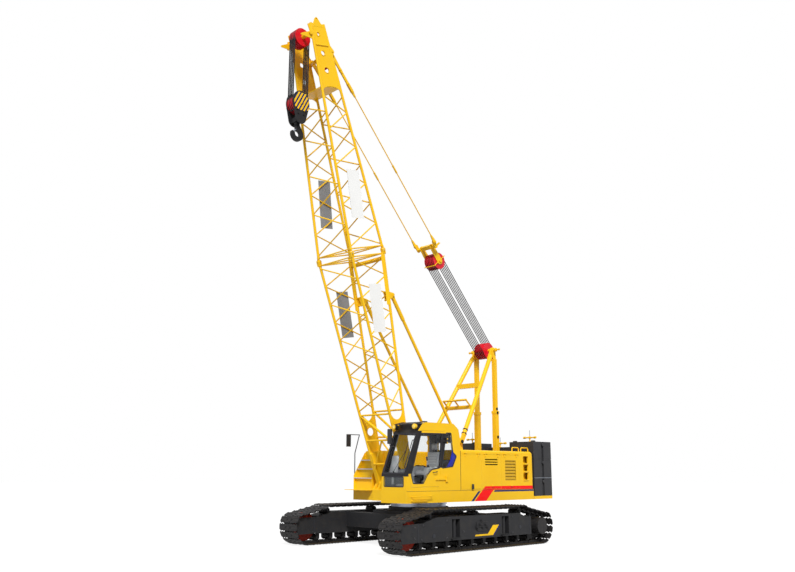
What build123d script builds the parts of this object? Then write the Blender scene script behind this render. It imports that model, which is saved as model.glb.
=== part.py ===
from build123d import *
import math
import os

# Lattice-boom crawler crane. Sizes are in millimetres.
# +X points forward along the boom, +Y to the left, +Z up.
# The origin lies on the ground under the slewing axis.

# Clearances
running_gap = 5.0  # between pieces that move past each other
fit_gap = 0.3  # between a pin and its eye, and between curved faces that meet
bearing_gap = 0.5  # between the two races of the slewing ring
weld_sink = 4.0  # how far a welded piece is let into its neighbour

# Tracks
track_gauge = 4030.0  # centre to centre
shoe_width = 800.0
shoe_thickness = 30.0
shoe_pitch = 216.0
shoe_share = 0.86  # length of a shoe over its pitch
link_height = 70.0
link_width = 420.0
tumbler_spacing = 5160.0  # idler axis to sprocket axis
end_height = 490.0  # height of those axes, and the outer radius of the belt there
track_height = 1080.0
carrier_radius = 80.0
roller_radius = 90.0
roller_count = 10
wheel_width = 300.0
idler_web_width = 150.0
axle_radius = 60.0
hub_radius = 130.0
sprocket_teeth = 21
sprocket_tooth_depth = 45.0
sprocket_tooth_width = 90.0
drive_radius = 225.0
drive_cover_reach = 70.0  # how far the round drive cover stands out of the side frame

# Side frames
frame_outer = 315.0  # outer face, from the track's centre line
frame_inner = 275.0  # inner face, from the track's centre line
frame_bottom = 290.0
frame_top = 870.0
frame_end_top = 760.0
frame_end_gap = 40.0  # from the idler's rim to the beam
frame_slope_length = 550.0
nose_plate = 30.0
pocket_width = 300.0
pocket_depth = 150.0
pocket_height = 460.0
pocket_pin_radius = 45.0
boss_length = 510.0
boss_height = 230.0
boss_thickness = 22.0
pedestal_length = 110.0
pedestal_width = 45.0
drive_plate = 50.0

# Carbody
axle_spacing = 2000.0  # transverse beams, centre to centre
axle_width = 420.0
axle_bottom = 450.0
axle_top = 850.0
body_half_width = 820.0
body_bottom = 430.0
body_top = 930.0
turret_radius = 850.0
ring_bottom = 1030.0
ring_split = 1100.0
ring_radius = 810.0
ring_bore = 600.0

# Revolving frame and decks
deck_bottom = 1190.0
deck_top = 1490.0
deck_plate = 20.0
frame_half_width = 690.0
girder_width = 250.0
frame_front = 1150.0
frame_rear = -3290.0
house_half_width = 1620.0
bay_inner = 705.0  # inner wall of the cab and of the machine houses

# Boom
boom_foot_x = 923.0
boom_foot_z = 1635.0
boom_angle = 74.4
foot_pin_radius = 50.0
foot_half_width = 571.0
foot_eye_width = 120.0
foot_eye_radius = 110.0
foot_half_depth = 105.0
joint_station = 6500.0  # where the two boom sections are pinned together
joint_half_width = 694.0
joint_half_depth = 600.0
tip_station = 13000.0
apex_plate = 40.0
apex_reach = 130.0
apex_bore_radius = 25.0
tip_half_width = 443.0
tip_half_depth = 232.0
chord_radius = 38.0
lacing_radius = 20.0
lattice_end_gap = 110.0  # from the pinned joint to the end frames
tip_first_pitch = 600.0
tip_pitch_ratio = 0.965
tip_bays = 8
butt_first_station = 2150.0
butt_bays = 8
board_gap = 0.8
board_width = 430.0
board_places = ((7420.0, 8800.0, 7.0, 8.0), (4250.0, 5580.0, -27.0, 5.0))  # ends, centre line, slant
board_thickness = 6.0
connector_pin_radius = 26.0
connector_reach = 85.0

# Boom head
head_bottom_station = 11050.0
head_plate = 24.0
head_pin_station = 12690.0
head_pin_forward = 340.0
head_pin_radius = 55.0
sheave_root_radius = 230.0
sheave_rim_radius = 262.0
sheave_pitch = 70.0
sheave_count = 4
pendant_lug_station = 12230.0
pendant_lug_back = 340.0
pendant_pin_radius = 30.0
guide_station = 12010.0
guide_back = 400.0
guide_sheave_radius = 130.0
guide_groove = 25.0
guide_sheave_pitch = 80.0
guide_sheave_count = 3
horn_reach = 640.0
head_arch = 130.0
head_holes = ((12690.0, 60.0, 52.0), (12140.0, 30.0, 66.0), (11650.0, 30.0, 78.0))
cross_plate_stations = (11170.0, 12150.0, 12890.0)
guide_pin_radius = 30.0

# Gantry
gantry_foot_x = -1130.0
gantry_foot_z = 2850.0
gantry_foot_half_width = 660.0
gantry_foot_eye = 60.0
gantry_head_x = -3040.0
gantry_head_z = 5790.0
gantry_head_half_width = 350.0
head_eye_half = 24.0
front_leg_radius = 66.0
gantry_beams = ((0.6, 140.0), (0.36, 110.0))  # share of the leg, and size of the beam there
platform_reach = (230.0, 205.0)
platform_bar = 32.0
back_leg_half_width = 370.0
back_leg_x = -3090.0
back_leg_size = 150.0
back_leg_upper_size = 118.0
back_leg_collar_z = 3860.0
gantry_pin_radius = 50.0
luff_root_radius = 222.0
luff_rim_radius = 255.0
luff_sheave_pitch = 64.0
luff_sheave_count = 6
rope_radius = 12.0

# Bridle and pendants
bridle_distance = 3440.0  # gantry head pin to bridle sheave pin
yoke_reach = 640.0  # bridle sheave pin to pendant pins
pendant_half_width = 405.0
pendant_eye_width = 36.0
pendant_radius = 16.0
pendant_chain = 1230.0  # length of the links under the boom head

# Backstops
backstop_half_width = 560.0
backstop_station = 5200.0
backstop_pin_back = 728.0  # behind the boom's axis
backstop_tube_radius = 44.0
backstop_rod_radius = 34.0
backstop_sleeve_radius = 56.0
backstop_sleeve_length = 620.0
backstop_eye_width = 80.0
backstop_eye_radius = 62.0
backstop_tube_length = 4080.0
backstop_pin_radius = 32.0

# Hook block
block_drop = 1970.0  # head pin to block pin
cheek_inner = 142.0
cheek_thickness = 30.0
cheek_radius = 272.0
cheek_crown_radius = 258.0
cheek_crown_rise = 80.0
cheek_foot_radius = 170.0
cheek_foot_drop = 440.0
trunnion_drop = 470.0
stripe_plate = 14.0
stripe_half_width = 240.0
stripe_bottom = 150.0  # below the block's pin
stripe_clip = 110.0
spacer_circle = sheave_rim_radius + 22.0
spacer_radius = 15.0
hook_ring_drop = 880.0
hook_outer_radius = 190.0
hook_throat_radius = 88.0
hook_thickness = 100.0
hook_shank_radius = 48.0

# Cab
cab_front = 2090.0
cab_rear = 5.0
cab_roof = 3270.0
cab_wall = 45.0
glass_thickness = 8.0
screen_top_x = 1640.0
screen_top_z = 3030.0
screen_foot_z = 1925.0
roof_front = 1310.0  # where the flat of the roof ends
visor_slats = 6
visor_inset = 45.0
visor_overhang = 40.0
visor_thickness = 30.0
lamp_z = 3150.0
lamp_radius = 62.0
lamp_inset = 45.0
door_hinge_x = 600.0
door_hinge_out = 26.0
hinge_pin_radius = 12.0
hinge_eye_radius = 20.0
hinge_heights = (1800.0, 2800.0)
hinge_reaches = (1000.0, 830.0)  # front ends of the door's straps
lower_window = (1610.0, 1850.0)
rear_window = (2300.0, 2780.0)
seat_rear = 560.0
seat_front = 1120.0
console_width = 120.0
console_gap = 22.0
console_height = 560.0
lever_height = 800.0

# Machine houses
house_top = 2580.0
house_wall = 20.0
house_front = -20.0
house_rear = -3270.0
hatch_edges = (-40.0, -890.0, -1760.0, -2620.0)
hatch_thickness = 30.0
hatch_skin = 4.0
slot_heights = (2170.0, 2240.0, 2310.0)
slot_length = 560.0
slot_height = 32.0
louvre_count = 6
louvre_pitch = 88.0
louvre_width = 480.0
louvre_bottom = 1760.0
hatch_bottom = 1520.0
engine_clearance = 130.0
engine_rear_gap = 770.0
engine_length = 1200.0
engine_headroom = 330.0
step_holes = ((1760.0, 1960.0), (2010.0, 2190.0), (2240.0, 2440.0))
step_hole_front = -2800.0
step_hole_rear = -3030.0
house_rear_radius = 110.0
house_side_radius = 60.0
hatch_top = 2470.0
hatch_knuckle_radius = 14.0
hatch_pin_radius = 7.0
hatch_hinge_y = house_half_width + hatch_knuckle_radius
hatch_hinge_z = hatch_top + 20.0
winch_half_width = 330.0
winch_drums = (  # x, z, drum radius, flange radius
    (330.0, 1870.0, 210.0, 300.0),
    (-480.0, 1870.0, 210.0, 300.0),
    (-2000.0, 1850.0, 190.0, 280.0),
)
right_front = 600.0
stair_front = 1050.0
stair_inner = 820.0
stair_knee_z = 1880.0
tread_heights = (1790.0, 2045.0, 2300.0)
tread_thickness = 24.0
riser_setback = 60.0
landing_depth = 290.0
landing_thickness = 15.0

# Counterweight
weight_front = house_rear - 44.0
weight_rear = weight_front - 886.0
weight_half_width = house_half_width + 10.0
weight_tray = 90.0
weight_layers = (1280.0, 1812.0, 2360.0, 2890.0)
weight_centre_top = 2740.0
tower_inner = 720.0
seam_depth = 12.0
tee_height = 140.0
tee_length = 400.0
tee_radius = 20.0
tee_knob = 34.0
lump_radius = 60.0
lump_width = 110.0


def slab(sketch, along, low, high):
    """Flat outline made thick between two positions on an axis.
    The outline is read as (y, z) along x, (x, z) along y and (x, y) along z."""
    if along == "x":
        plane = Plane((low, 0, 0), x_dir=(0, 1, 0), z_dir=(1, 0, 0))
    elif along == "y":
        plane = Plane((0, high, 0), x_dir=(1, 0, 0), z_dir=(0, -1, 0))
    else:
        plane = Plane((0, 0, low))
    return extrude(plane * sketch, amount=high - low, dir=plane.z_dir)


def block(x_range, y_range, z_range):
    """Box between two limits on each axis."""
    ranges = (x_range, y_range, z_range)
    centre = [(low + high) / 2 for low, high in ranges]
    return Pos(*centre) * Box(*[abs(high - low) for low, high in ranges])


def polygon(*points):
    """Face with straight sides."""
    return make_face(Polyline(*points, close=True))


def tight_outline(circles):
    """Face inside a band pulled tight round circles (x, y, radius), given anticlockwise."""
    normals = []
    for (x1, y1, r1), (x2, y2, r2) in zip(circles, circles[1:] + circles[:1]):
        heading = math.atan2(y2 - y1, x2 - x1)
        normals.append(heading - math.acos((r1 - r2) / math.hypot(x2 - x1, y2 - y1)))
    edges = []
    for index, (x, y, radius) in enumerate(circles):
        turn = (normals[index] - normals[index - 1]) % (2 * math.pi)
        if radius > 0 and turn > 1e-6:
            start = math.degrees(normals[index - 1])
            edges.append(CenterArc((x, y), radius, start, math.degrees(turn)))
        next_x, next_y, next_radius = circles[(index + 1) % len(circles)]
        along, across = math.cos(normals[index]), math.sin(normals[index])
        start = (x + radius * along, y + radius * across)
        end = (next_x + next_radius * along, next_y + next_radius * across)
        edges.append(Line(start, end))
    return make_face(edges)


def bar(start, end, radius, sides=0):
    """Round bar from start to end, or a prism when it has a number of sides."""
    axis = Vector(*end) - Vector(*start)
    section = RegularPolygon(radius, sides) if sides else Circle(radius)
    return extrude(Plane(start, z_dir=axis) * section, amount=axis.length, dir=axis)


def cross_pin(x, z, radius, y_range):
    """Round pin lying across the machine."""
    low, high = y_range
    return bar((x, low, z), (x, high, z), radius)


def joined(pieces):
    """One piece made of several that run into each other."""
    return pieces[0] + pieces[1:]


def both_sides(piece):
    """A piece and its mirror image across the machine's middle plane."""
    return [piece, mirror(piece, about=Plane.XZ)]


def write(name, shapes):
    """Writes the solids of one node to its own file."""
    solids = [solid for shape in shapes for solid in shape.solids()]
    node = Compound(children=solids) if len(solids) > 1 else solids[0]
    export_step(node, f"parts/{name}.step")


# ---------------------------------------------------------------- undercarriage

track_y = track_gauge / 2
belt_depth = shoe_thickness + link_height
carrier_height = track_height - belt_depth - carrier_radius
wheel_radius = end_height - belt_depth - fit_gap
frame_half_length = tumbler_spacing / 2 - wheel_radius - frame_end_gap
frame_shoulder = frame_half_length - frame_slope_length
roller_reach = frame_half_length + 20
carrier_reach = frame_shoulder + 200


def belt_face(depth):
    """Area inside the belt, a given depth in from the outside of its shoes."""
    half = tumbler_spacing / 2
    top = carrier_radius + belt_depth - depth
    return tight_outline(
        [
            (-half, end_height, end_height - depth),
            (half, end_height, end_height - depth),
            (carrier_reach, carrier_height, top),
            (-carrier_reach, carrier_height, top),
        ]
    )


def track():
    """Closed belt of links with a flat shoe on each, round the left side frame."""
    rim = belt_face(shoe_thickness)
    low, high = track_y - link_width / 2, track_y + link_width / 2
    links = slab(rim - belt_face(belt_depth), "y", low, high)
    wire = rim.wire()
    count = round(wire.length / shoe_pitch)
    shoe = Box(shoe_share * wire.length / count, shoe_width, shoe_thickness + weld_sink)
    shoes = []
    for index in range(count):
        point = wire @ (index / count)
        tangent = wire % (index / count)
        outward = Vector(tangent.Y, -tangent.X)
        if outward.dot(Vector(point.X, point.Y - end_height)) < 0:
            outward = -outward
        centre = point + outward * ((shoe_thickness - weld_sink) / 2)
        plane = Plane(
            (centre.X, track_y, centre.Y),
            x_dir=(tangent.X, 0, tangent.Y),
            z_dir=(outward.X, 0, outward.Y),
        )
        shoes.append(plane * shoe)
    return links + shoes


def roller_positions():
    step = 2 * roller_reach / (roller_count - 1)
    return [-roller_reach + index * step for index in range(roller_count)]


def rollers():
    """Lower rollers under the left side frame, and the carrier rollers over it."""
    half = wheel_width / 2
    low, high = track_y - half, track_y + half
    lower_z = belt_depth + fit_gap + roller_radius
    pieces = [cross_pin(x, lower_z, roller_radius, (low, high)) for x in roller_positions()]
    for x in (-carrier_reach, 0, carrier_reach):
        radius = carrier_radius - fit_gap
        pieces.append(cross_pin(x, carrier_height, radius, (low, high)))
    return pieces


def idler():
    """Front wheel of the left track on its axle."""
    x, z = tumbler_spacing / 2, end_height
    half = idler_web_width / 2
    low, high = track_y - frame_inner, track_y + frame_outer
    wheel = cross_pin(x, z, wheel_radius, (track_y - half, track_y + half))
    hub_low = low + nose_plate + fit_gap
    hub_high = high - nose_plate - fit_gap
    hub = cross_pin(x, z, hub_radius, (hub_low, hub_high))
    return wheel + [hub, cross_pin(x, z, axle_radius, (low, high))]


def sprocket():
    """Drive sprocket of the left track with its gearbox and round cover."""
    x, z = -tumbler_spacing / 2, end_height
    root = wheel_radius - sprocket_tooth_depth
    points = []
    for index in range(sprocket_teeth):
        for share, radius in ((0, root), (0.3, root), (0.42, wheel_radius), (0.88, wheel_radius)):
            angle = 2 * math.pi * (index + share) / sprocket_teeth
            points.append((x + radius * math.cos(angle), z + radius * math.sin(angle)))
    half = sprocket_tooth_width / 2
    teeth = slab(polygon(*points), "y", track_y - half, track_y + half)
    low = track_y - frame_inner + drive_plate
    high = track_y + frame_outer + drive_cover_reach
    return teeth + cross_pin(x, z, drive_radius, (low, high))


def side_frame():
    """Left side frame: box beam, idler fork, drive plate and roller pedestals."""
    low, high = track_y - frame_inner, track_y + frame_outer
    beam = slab(
        polygon(
            (-frame_half_length, frame_bottom),
            (frame_half_length, frame_bottom),
            (frame_half_length, frame_end_top),
            (frame_shoulder + 80, frame_top),
            (-frame_shoulder, frame_top),
            (-frame_shoulder - 340, frame_end_top),
            (-frame_half_length, frame_end_top),
        ),
        "y",
        low,
        high,
    )
    pocket_z = (frame_bottom + frame_top - pocket_height) / 2
    pockets = []
    for x in (-axle_spacing / 2, axle_spacing / 2):
        span = (x - pocket_width / 2, x + pocket_width / 2)
        pockets.append(block(span, (high - pocket_depth, high + 1), (pocket_z, pocket_z + pocket_height)))
    half = wheel_width / 2 + fit_gap
    for x in (-carrier_reach, 0, carrier_reach):
        span = (x - carrier_radius - 2 * running_gap, x + carrier_radius + 2 * running_gap)
        floor = carrier_height - carrier_radius - 2 * running_gap
        pockets.append(block(span, (track_y - half, track_y + half), (floor, track_height)))
    beam -= pockets
    bosses = []
    for x in (-axle_spacing / 2, axle_spacing / 2):
        centre_y = high - pocket_depth / 2
        bosses.append(upright_pin(x, centre_y, pocket_pin_radius, pocket_z - 1, pocket_z + pocket_height + 1))
    boss = Pos(-45, (frame_bottom + frame_top) / 2 + 10) * RectangleRounded(boss_length, boss_height, 60)
    bosses.append(slab(boss, "y", high - 1, high + boss_thickness))
    idler_x = tumbler_spacing / 2
    nose = tight_outline(
        [
            (frame_half_length - 60, frame_bottom + 30, 10),
            (idler_x + 300, frame_bottom + 60, 60),
            (idler_x + 320, end_height + 160, 80),
            (frame_half_length - 60, frame_end_top - 20, 10),
        ]
    )
    fork = [slab(nose, "y", low, low + nose_plate), slab(nose, "y", high - nose_plate, high)]
    axle_hole = cross_pin(idler_x, end_height, axle_radius + fit_gap, (low - 1, high + 1))
    fork = [cheek - axle_hole for cheek in fork]
    drive = tight_outline(
        [
            (-idler_x, end_height, drive_radius + 30),
            (-frame_half_length + 60, frame_bottom + 20, 10),
            (-frame_half_length + 60, frame_end_top - 20, 10),
        ]
    )
    drive_mount = slab(drive, "y", low, low + drive_plate)
    pedestals = []
    lower_z = belt_depth + fit_gap + roller_radius
    for x in roller_positions():
        span = (x - pedestal_length / 2, x + pedestal_length / 2)
        for side in (-1, 1):
            ends = sorted((track_y + side * half, track_y + side * (half + pedestal_width)))
            pedestals.append(block(span, ends, (lower_z - 45, frame_bottom + weld_sink)))
    for x in (-carrier_reach, 0, carrier_reach):
        span = (x - pedestal_length / 3, x + pedestal_length / 3)
        for side in (-1, 1):
            ends = sorted((track_y + side * half, track_y + side * (half + pedestal_width)))
            foot = frame_top if x == 0 else frame_end_top
            pedestals.append(block(span, ends, (foot - 60, carrier_height + 40)))
    return joined([beam] + bosses + fork + [drive_mount] + pedestals)


def carbody():
    """Centre of the undercarriage: turret base on two transverse box beams."""
    reach = track_y - frame_inner
    half = axle_spacing / 2
    pieces = [block((-half, half), (-body_half_width, body_half_width), (body_bottom, body_top))]
    for x in (-half, half):
        span = (x - axle_width / 2, x + axle_width / 2)
        pieces.append(block(span, (-reach, reach), (axle_bottom, axle_top)))
    base = Pos(0, 0, body_bottom) * Cylinder(
        turret_radius, ring_bottom - body_bottom, align=(Align.CENTER, Align.CENTER, Align.MIN)
    )
    return joined(pieces + [base])


def ring(low, high, outer, bore):
    """Flat ring round the slewing axis."""
    return slab(Circle(outer) - Circle(bore), "z", low, high)


# ---------------------------------------------------------------- revolving frame


def eye_plate(x, z, radius, foot_x, foot_z, y_range):
    """Upright plate with a round head, standing on a foot between two x positions."""
    outline = tight_outline([(foot_x[0], foot_z, 0), (foot_x[1], foot_z, 0), (x, z, radius)])
    return slab(outline, "y", *y_range)


def revolving_frame():
    """Welded frame: floor, two box girders, boom foot ears, posts for gantry and backstops."""
    inner = frame_half_width - girder_width
    pieces = [
        block(
            (frame_rear, frame_front),
            (-frame_half_width, frame_half_width),
            (deck_bottom, deck_bottom + deck_plate),
        ),
        block((frame_front - 60, frame_front), (-inner - 1, inner + 1), (deck_bottom, deck_top)),
        block((frame_rear, back_leg_x + back_leg_size), (-inner - 1, inner + 1), (deck_bottom, deck_top)),
    ]
    for side in (-1, 1):
        girder = sorted((side * inner, side * frame_half_width))
        pieces.append(block((frame_rear, frame_front), girder, (deck_bottom, deck_top)))
        half = foot_eye_width / 2 + running_gap
        for centre in (foot_half_width - half - 15, foot_half_width + half + 15):
            plate = sorted((side * (centre - 15), side * (centre + 15)))
            pieces.append(
                eye_plate(
                    boom_foot_x,
                    boom_foot_z,
                    foot_eye_radius,
                    (boom_foot_x - 300, frame_front),
                    deck_top - 1,
                    plate,
                )
            )
        pin = sorted((side * (foot_half_width - half - 50), side * (foot_half_width + half + 45)))
        pieces.append(cross_pin(boom_foot_x, boom_foot_z, foot_pin_radius, pin))
        pieces += gantry_post(side)
        pieces.append(side_deck(side))
    frame = joined(pieces)
    hole = Pos(0, 0, deck_bottom) * Cylinder(ring_bore - 120, 4 * deck_plate)
    return frame - hole


def gantry_post(side):
    """Post with the pins of one gantry leg and one backstop."""
    backstop_half = backstop_eye_width / 2 + running_gap
    inner_plate = (backstop_half_width - backstop_half - 20, backstop_half_width - backstop_half)
    leg_inner = gantry_foot_half_width - gantry_foot_eye / 2
    middle_plate = (backstop_half_width + backstop_half, leg_inner - running_gap)
    foot = (gantry_foot_x - 200, gantry_foot_x + 200)
    plates = []
    for low, high in (inner_plate, middle_plate):
        y_range = sorted((side * low, side * high))
        plates.append(eye_plate(gantry_foot_x, gantry_foot_z, 80, foot, deck_top - 1, y_range))
    core_top = gantry_foot_z - 230
    core = sorted((side * inner_plate[0], side * middle_plate[1]))
    plates.append(block((gantry_foot_x - 90, gantry_foot_x + 90), core, (deck_top - 1, core_top)))
    pin = sorted((side * (inner_plate[0] - 15), side * (gantry_foot_half_width + gantry_foot_eye / 2)))
    plates.append(cross_pin(gantry_foot_x, gantry_foot_z, backstop_pin_radius, pin))
    return plates


def side_deck(side):
    """Deck beside the girders, open below, that carries the cab or a machine house."""
    front = cab_front if side > 0 else stair_front
    outer = block((house_rear, front), (frame_half_width - 1, house_half_width), (deck_bottom, deck_top))
    hollow = block(
        (house_rear + deck_plate, front - deck_plate),
        (frame_half_width, house_half_width - deck_plate),
        (deck_bottom - 1, deck_top - deck_plate),
    )
    deck = outer - hollow
    return deck if side > 0 else mirror(deck, about=Plane.XZ)


# ---------------------------------------------------------------- cab

cab_side = (
    (cab_rear, deck_top),
    (cab_front, deck_top),
    (cab_front, screen_foot_z),
    (screen_top_x, screen_top_z),
    (screen_top_x - 180, cab_roof - 40),
    (roof_front, cab_roof),
    (cab_rear + 260, cab_roof),
    (cab_rear + 60, cab_roof - 150),
    (cab_rear, cab_roof - 400),
)
cab_inside = (
    (cab_rear + cab_wall, deck_top + cab_wall),
    (cab_front - cab_wall, deck_top + cab_wall),
    (cab_front - cab_wall, screen_foot_z - 10),
    (screen_top_x - cab_wall - 5, screen_top_z - 10),
    (roof_front, cab_roof - cab_wall),
    (cab_rear + 270, cab_roof - cab_wall),
    (cab_rear + 60 + cab_wall, cab_roof - 170),
    (cab_rear + cab_wall, cab_roof - 405),
)
door_outline = (
    (640.0, 3050.0),
    (865.0, 1600.0),
    (1900.0, 1600.0),
    (1985.0, 1900.0),
    (1560.0, 3040.0),
)
door_window = (
    (735.0, 2985.0),
    (830.0, 2090.0),
    (1140.0, 2040.0),
    (1290.0, 1920.0),
    (1460.0, 1690.0),
    (1830.0, 1690.0),
    (1900.0, 1905.0),
    (1530.0, 2970.0),
)
quarter_window = (
    (560.0, 3010.0),
    (370.0, 3010.0),
    (330.0, 2640.0),
    (300.0, 2500.0),
    (165.0, 2400.0),
    (320.0, 2125.0),
    (740.0, 2080.0),
)
right_window = (
    (1480.0, 2970.0),
    (300.0, 2970.0),
    (300.0, 2120.0),
    (1800.0, 2020.0),
    (1860.0, 2020.0),
)
screen_margin = 60.0


def outline_set_back(points, distance):
    """Face with straight sides, moved inward (or outward when negative) by a distance."""
    return offset(polygon(*points), amount=-distance, kind=Kind.INTERSECTION)


def screen_y_range():
    return bay_inner + screen_margin, house_half_width - screen_margin


def cab_windows():
    """Cutters for the fixed windows: screen, lower screen, quarter, right side and rear."""
    y_low, y_high = screen_y_range()
    screen_top = (screen_top_x - 20, screen_top_z - 70)
    screen = slab(
        polygon(
            (cab_front - 200, screen_foot_z + 30),
            (cab_front + 60, screen_foot_z + 30),
            (screen_top[0] + 120, screen_top[1]),
            (screen_top[0] - 160, screen_top[1]),
        ),
        "y",
        y_low,
        y_high,
    )
    lower = block((cab_front - cab_wall - 1, cab_front + 1), (y_low + 40, y_high - 40), lower_window)
    wall = (house_half_width - cab_wall - 1, house_half_width + 1)
    quarter = slab(polygon(*quarter_window), "y", *wall)
    right = slab(polygon(*right_window), "y", bay_inner - 1, bay_inner + cab_wall + 1)
    rear = block((cab_rear - 1, cab_rear + cab_wall + 1), (y_low + 40, y_high - 40), rear_window)
    return [screen, lower, quarter, right, rear]


def cab_shell():
    """Cab walls, roof and floor, with the door opening and the windows cut."""
    outer = slab(polygon(*cab_side), "y", bay_inner, house_half_width)
    inner = slab(polygon(*cab_inside), "y", bay_inner + cab_wall, house_half_width - cab_wall)
    wall = (house_half_width - cab_wall - 1, house_half_width + 1)
    doorway = slab(outline_set_back(door_outline, -running_gap), "y", *wall)
    shell = outer - [inner, doorway] - cab_windows()
    pin_y = house_half_width + door_hinge_out
    hinges = []
    for z in hinge_heights:
        for low, high in ((z - 75, z - 30 - running_gap), (z + 30 + running_gap, z + 75)):
            hinges.append(
                block((door_hinge_x - 70, door_hinge_x), (house_half_width - 1, pin_y), (low, high))
            )
            hinges.append(upright_pin(door_hinge_x, pin_y, hinge_eye_radius, low, high))
        hinges.append(upright_pin(door_hinge_x, pin_y, hinge_pin_radius, z - 75, z + 75))
    return joined([shell] + hinges)


def upright_pin(x, y, radius, low, high):
    return bar((x, y, low), (x, y, high), radius)


def cab_glass():
    """Fixed panes, each seated in its window."""
    y_low, y_high = screen_y_range()
    cutters = cab_windows()
    middle = cab_wall / 2
    half = glass_thickness / 2
    top = (screen_top_x - 20, screen_top_z - 70)
    slope = (cab_front - screen_top_x) / (screen_top_z - screen_foot_z)
    panes = []
    foot_x = cab_front - (30 * slope) - middle
    top_x = cab_front - (screen_top_z - 70 - screen_foot_z) * slope - middle
    panes.append(
        slab(
            polygon(
                (foot_x - half, screen_foot_z + 30 + fit_gap),
                (foot_x + half, screen_foot_z + 30 + fit_gap),
                (top_x + half, top[1] - fit_gap),
                (top_x - half, top[1] - fit_gap),
            ),
            "y",
            y_low + fit_gap,
            y_high - fit_gap,
        )
    )
    panes.append(
        block(
            (cab_front - middle - half, cab_front - middle + half),
            (y_low + 40 + fit_gap, y_high - 40 - fit_gap),
            (lower_window[0] + fit_gap, lower_window[1] - fit_gap),
        )
    )
    left_y = house_half_width - middle
    panes.append(slab(outline_set_back(quarter_window, fit_gap), "y", left_y - half, left_y + half))
    right_y = bay_inner + middle
    panes.append(slab(outline_set_back(right_window, fit_gap), "y", right_y - half, right_y + half))
    panes.append(
        block(
            (cab_rear + middle - half, cab_rear + middle + half),
            (y_low + 40 + fit_gap, y_high - 40 - fit_gap),
            (rear_window[0] + fit_gap, rear_window[1] - fit_gap),
        )
    )
    return panes


def cab_door():
    """Door skin with its window cut, and two hinge straps."""
    y_range = (house_half_width - cab_wall, house_half_width)
    skin = slab(polygon(*door_outline), "y", *y_range)
    skin -= slab(polygon(*door_window), "y", y_range[0] - 1, y_range[1] + 1)
    pin_y = house_half_width + door_hinge_out
    pieces = [skin]
    holes = []
    for z, reach in zip(hinge_heights, hinge_reaches):
        strap = (pin_y - hinge_eye_radius, pin_y)
        pieces.append(block((door_hinge_x, reach), strap, (z - 30, z + 30)))
        pieces.append(block((reach - 130, reach), (house_half_width - 1, strap[0] + 1), (z - 30, z + 30)))
        pieces.append(upright_pin(door_hinge_x, pin_y, hinge_eye_radius, z - 30, z + 30))
        holes.append(upright_pin(door_hinge_x, pin_y, hinge_pin_radius + fit_gap, z - 40, z + 40))
    return joined(pieces) - holes


def door_glass():
    middle = house_half_width - cab_wall / 2
    half = glass_thickness / 2
    return slab(outline_set_back(door_window, fit_gap), "y", middle - half, middle + half)


def operator_seat():
    """Seat with base, cushion, back and headrest."""
    middle = (bay_inner + house_half_width) / 2
    half = console_offset() - console_width / 2 - console_gap
    floor = deck_top + cab_wall
    back = [
        (seat_rear, floor + 430, 50),
        (seat_rear + 140, floor + 440, 40),
        (seat_rear + 50, floor + 1000, 45),
        (seat_rear - 60, floor + 990, 40),
    ]
    head = (seat_rear - 60, seat_rear + 30)
    return joined(
        [
            block(
                (seat_rear + 60, seat_front - 140),
                (middle - half * 0.8, middle + half * 0.8),
                (floor, floor + 330),
            ),
            block((seat_rear, seat_front), (middle - half, middle + half), (floor + 329, floor + 480)),
            slab(tight_outline(back), "y", middle - half, middle + half),
            block(head, (middle - half / 2, middle + half / 2), (floor + 1020, floor + 1220)),
        ]
    )


def console_offset():
    """From the middle of the cab to the middle of either console."""
    return (house_half_width - bay_inner) / 2 - cab_wall - console_gap - console_width / 2


def control_consoles():
    """Two arm consoles with their levers, and the pedal box at the front."""
    middle = (bay_inner + house_half_width) / 2
    floor = deck_top + cab_wall
    pieces = []
    low_x, high_x = seat_rear + 80, seat_front + 120
    for side in (-1, 1):
        y = middle + side * console_offset()
        y_range = (y - console_width / 2, y + console_width / 2)
        lever = bar(
            (high_x - 100, y, floor + console_height - 10), (high_x - 50, y, floor + lever_height), 16
        )
        pieces.append(block((low_x, high_x), y_range, (floor, floor + console_height)) + lever)
    pedals = (cab_front - 530, cab_front - 250)
    pieces.append(
        block(pedals, (middle - console_offset() / 2, middle + console_offset() / 2), (floor, floor + 130))
    )
    return pieces


# ---------------------------------------------------------------- machine houses


def rounded_house(house):
    """Machine house with its long top edges and its rear top edge rounded."""
    top_rear = house.edges().filter_by(Axis.Y).group_by(Axis.Z)[-1].sort_by(Axis.X)[0]
    house = fillet(top_rear, house_rear_radius)
    long_edges = house.edges().filter_by(Axis.X).group_by(Axis.Z)[-1]
    return fillet(long_edges, house_side_radius)


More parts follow.
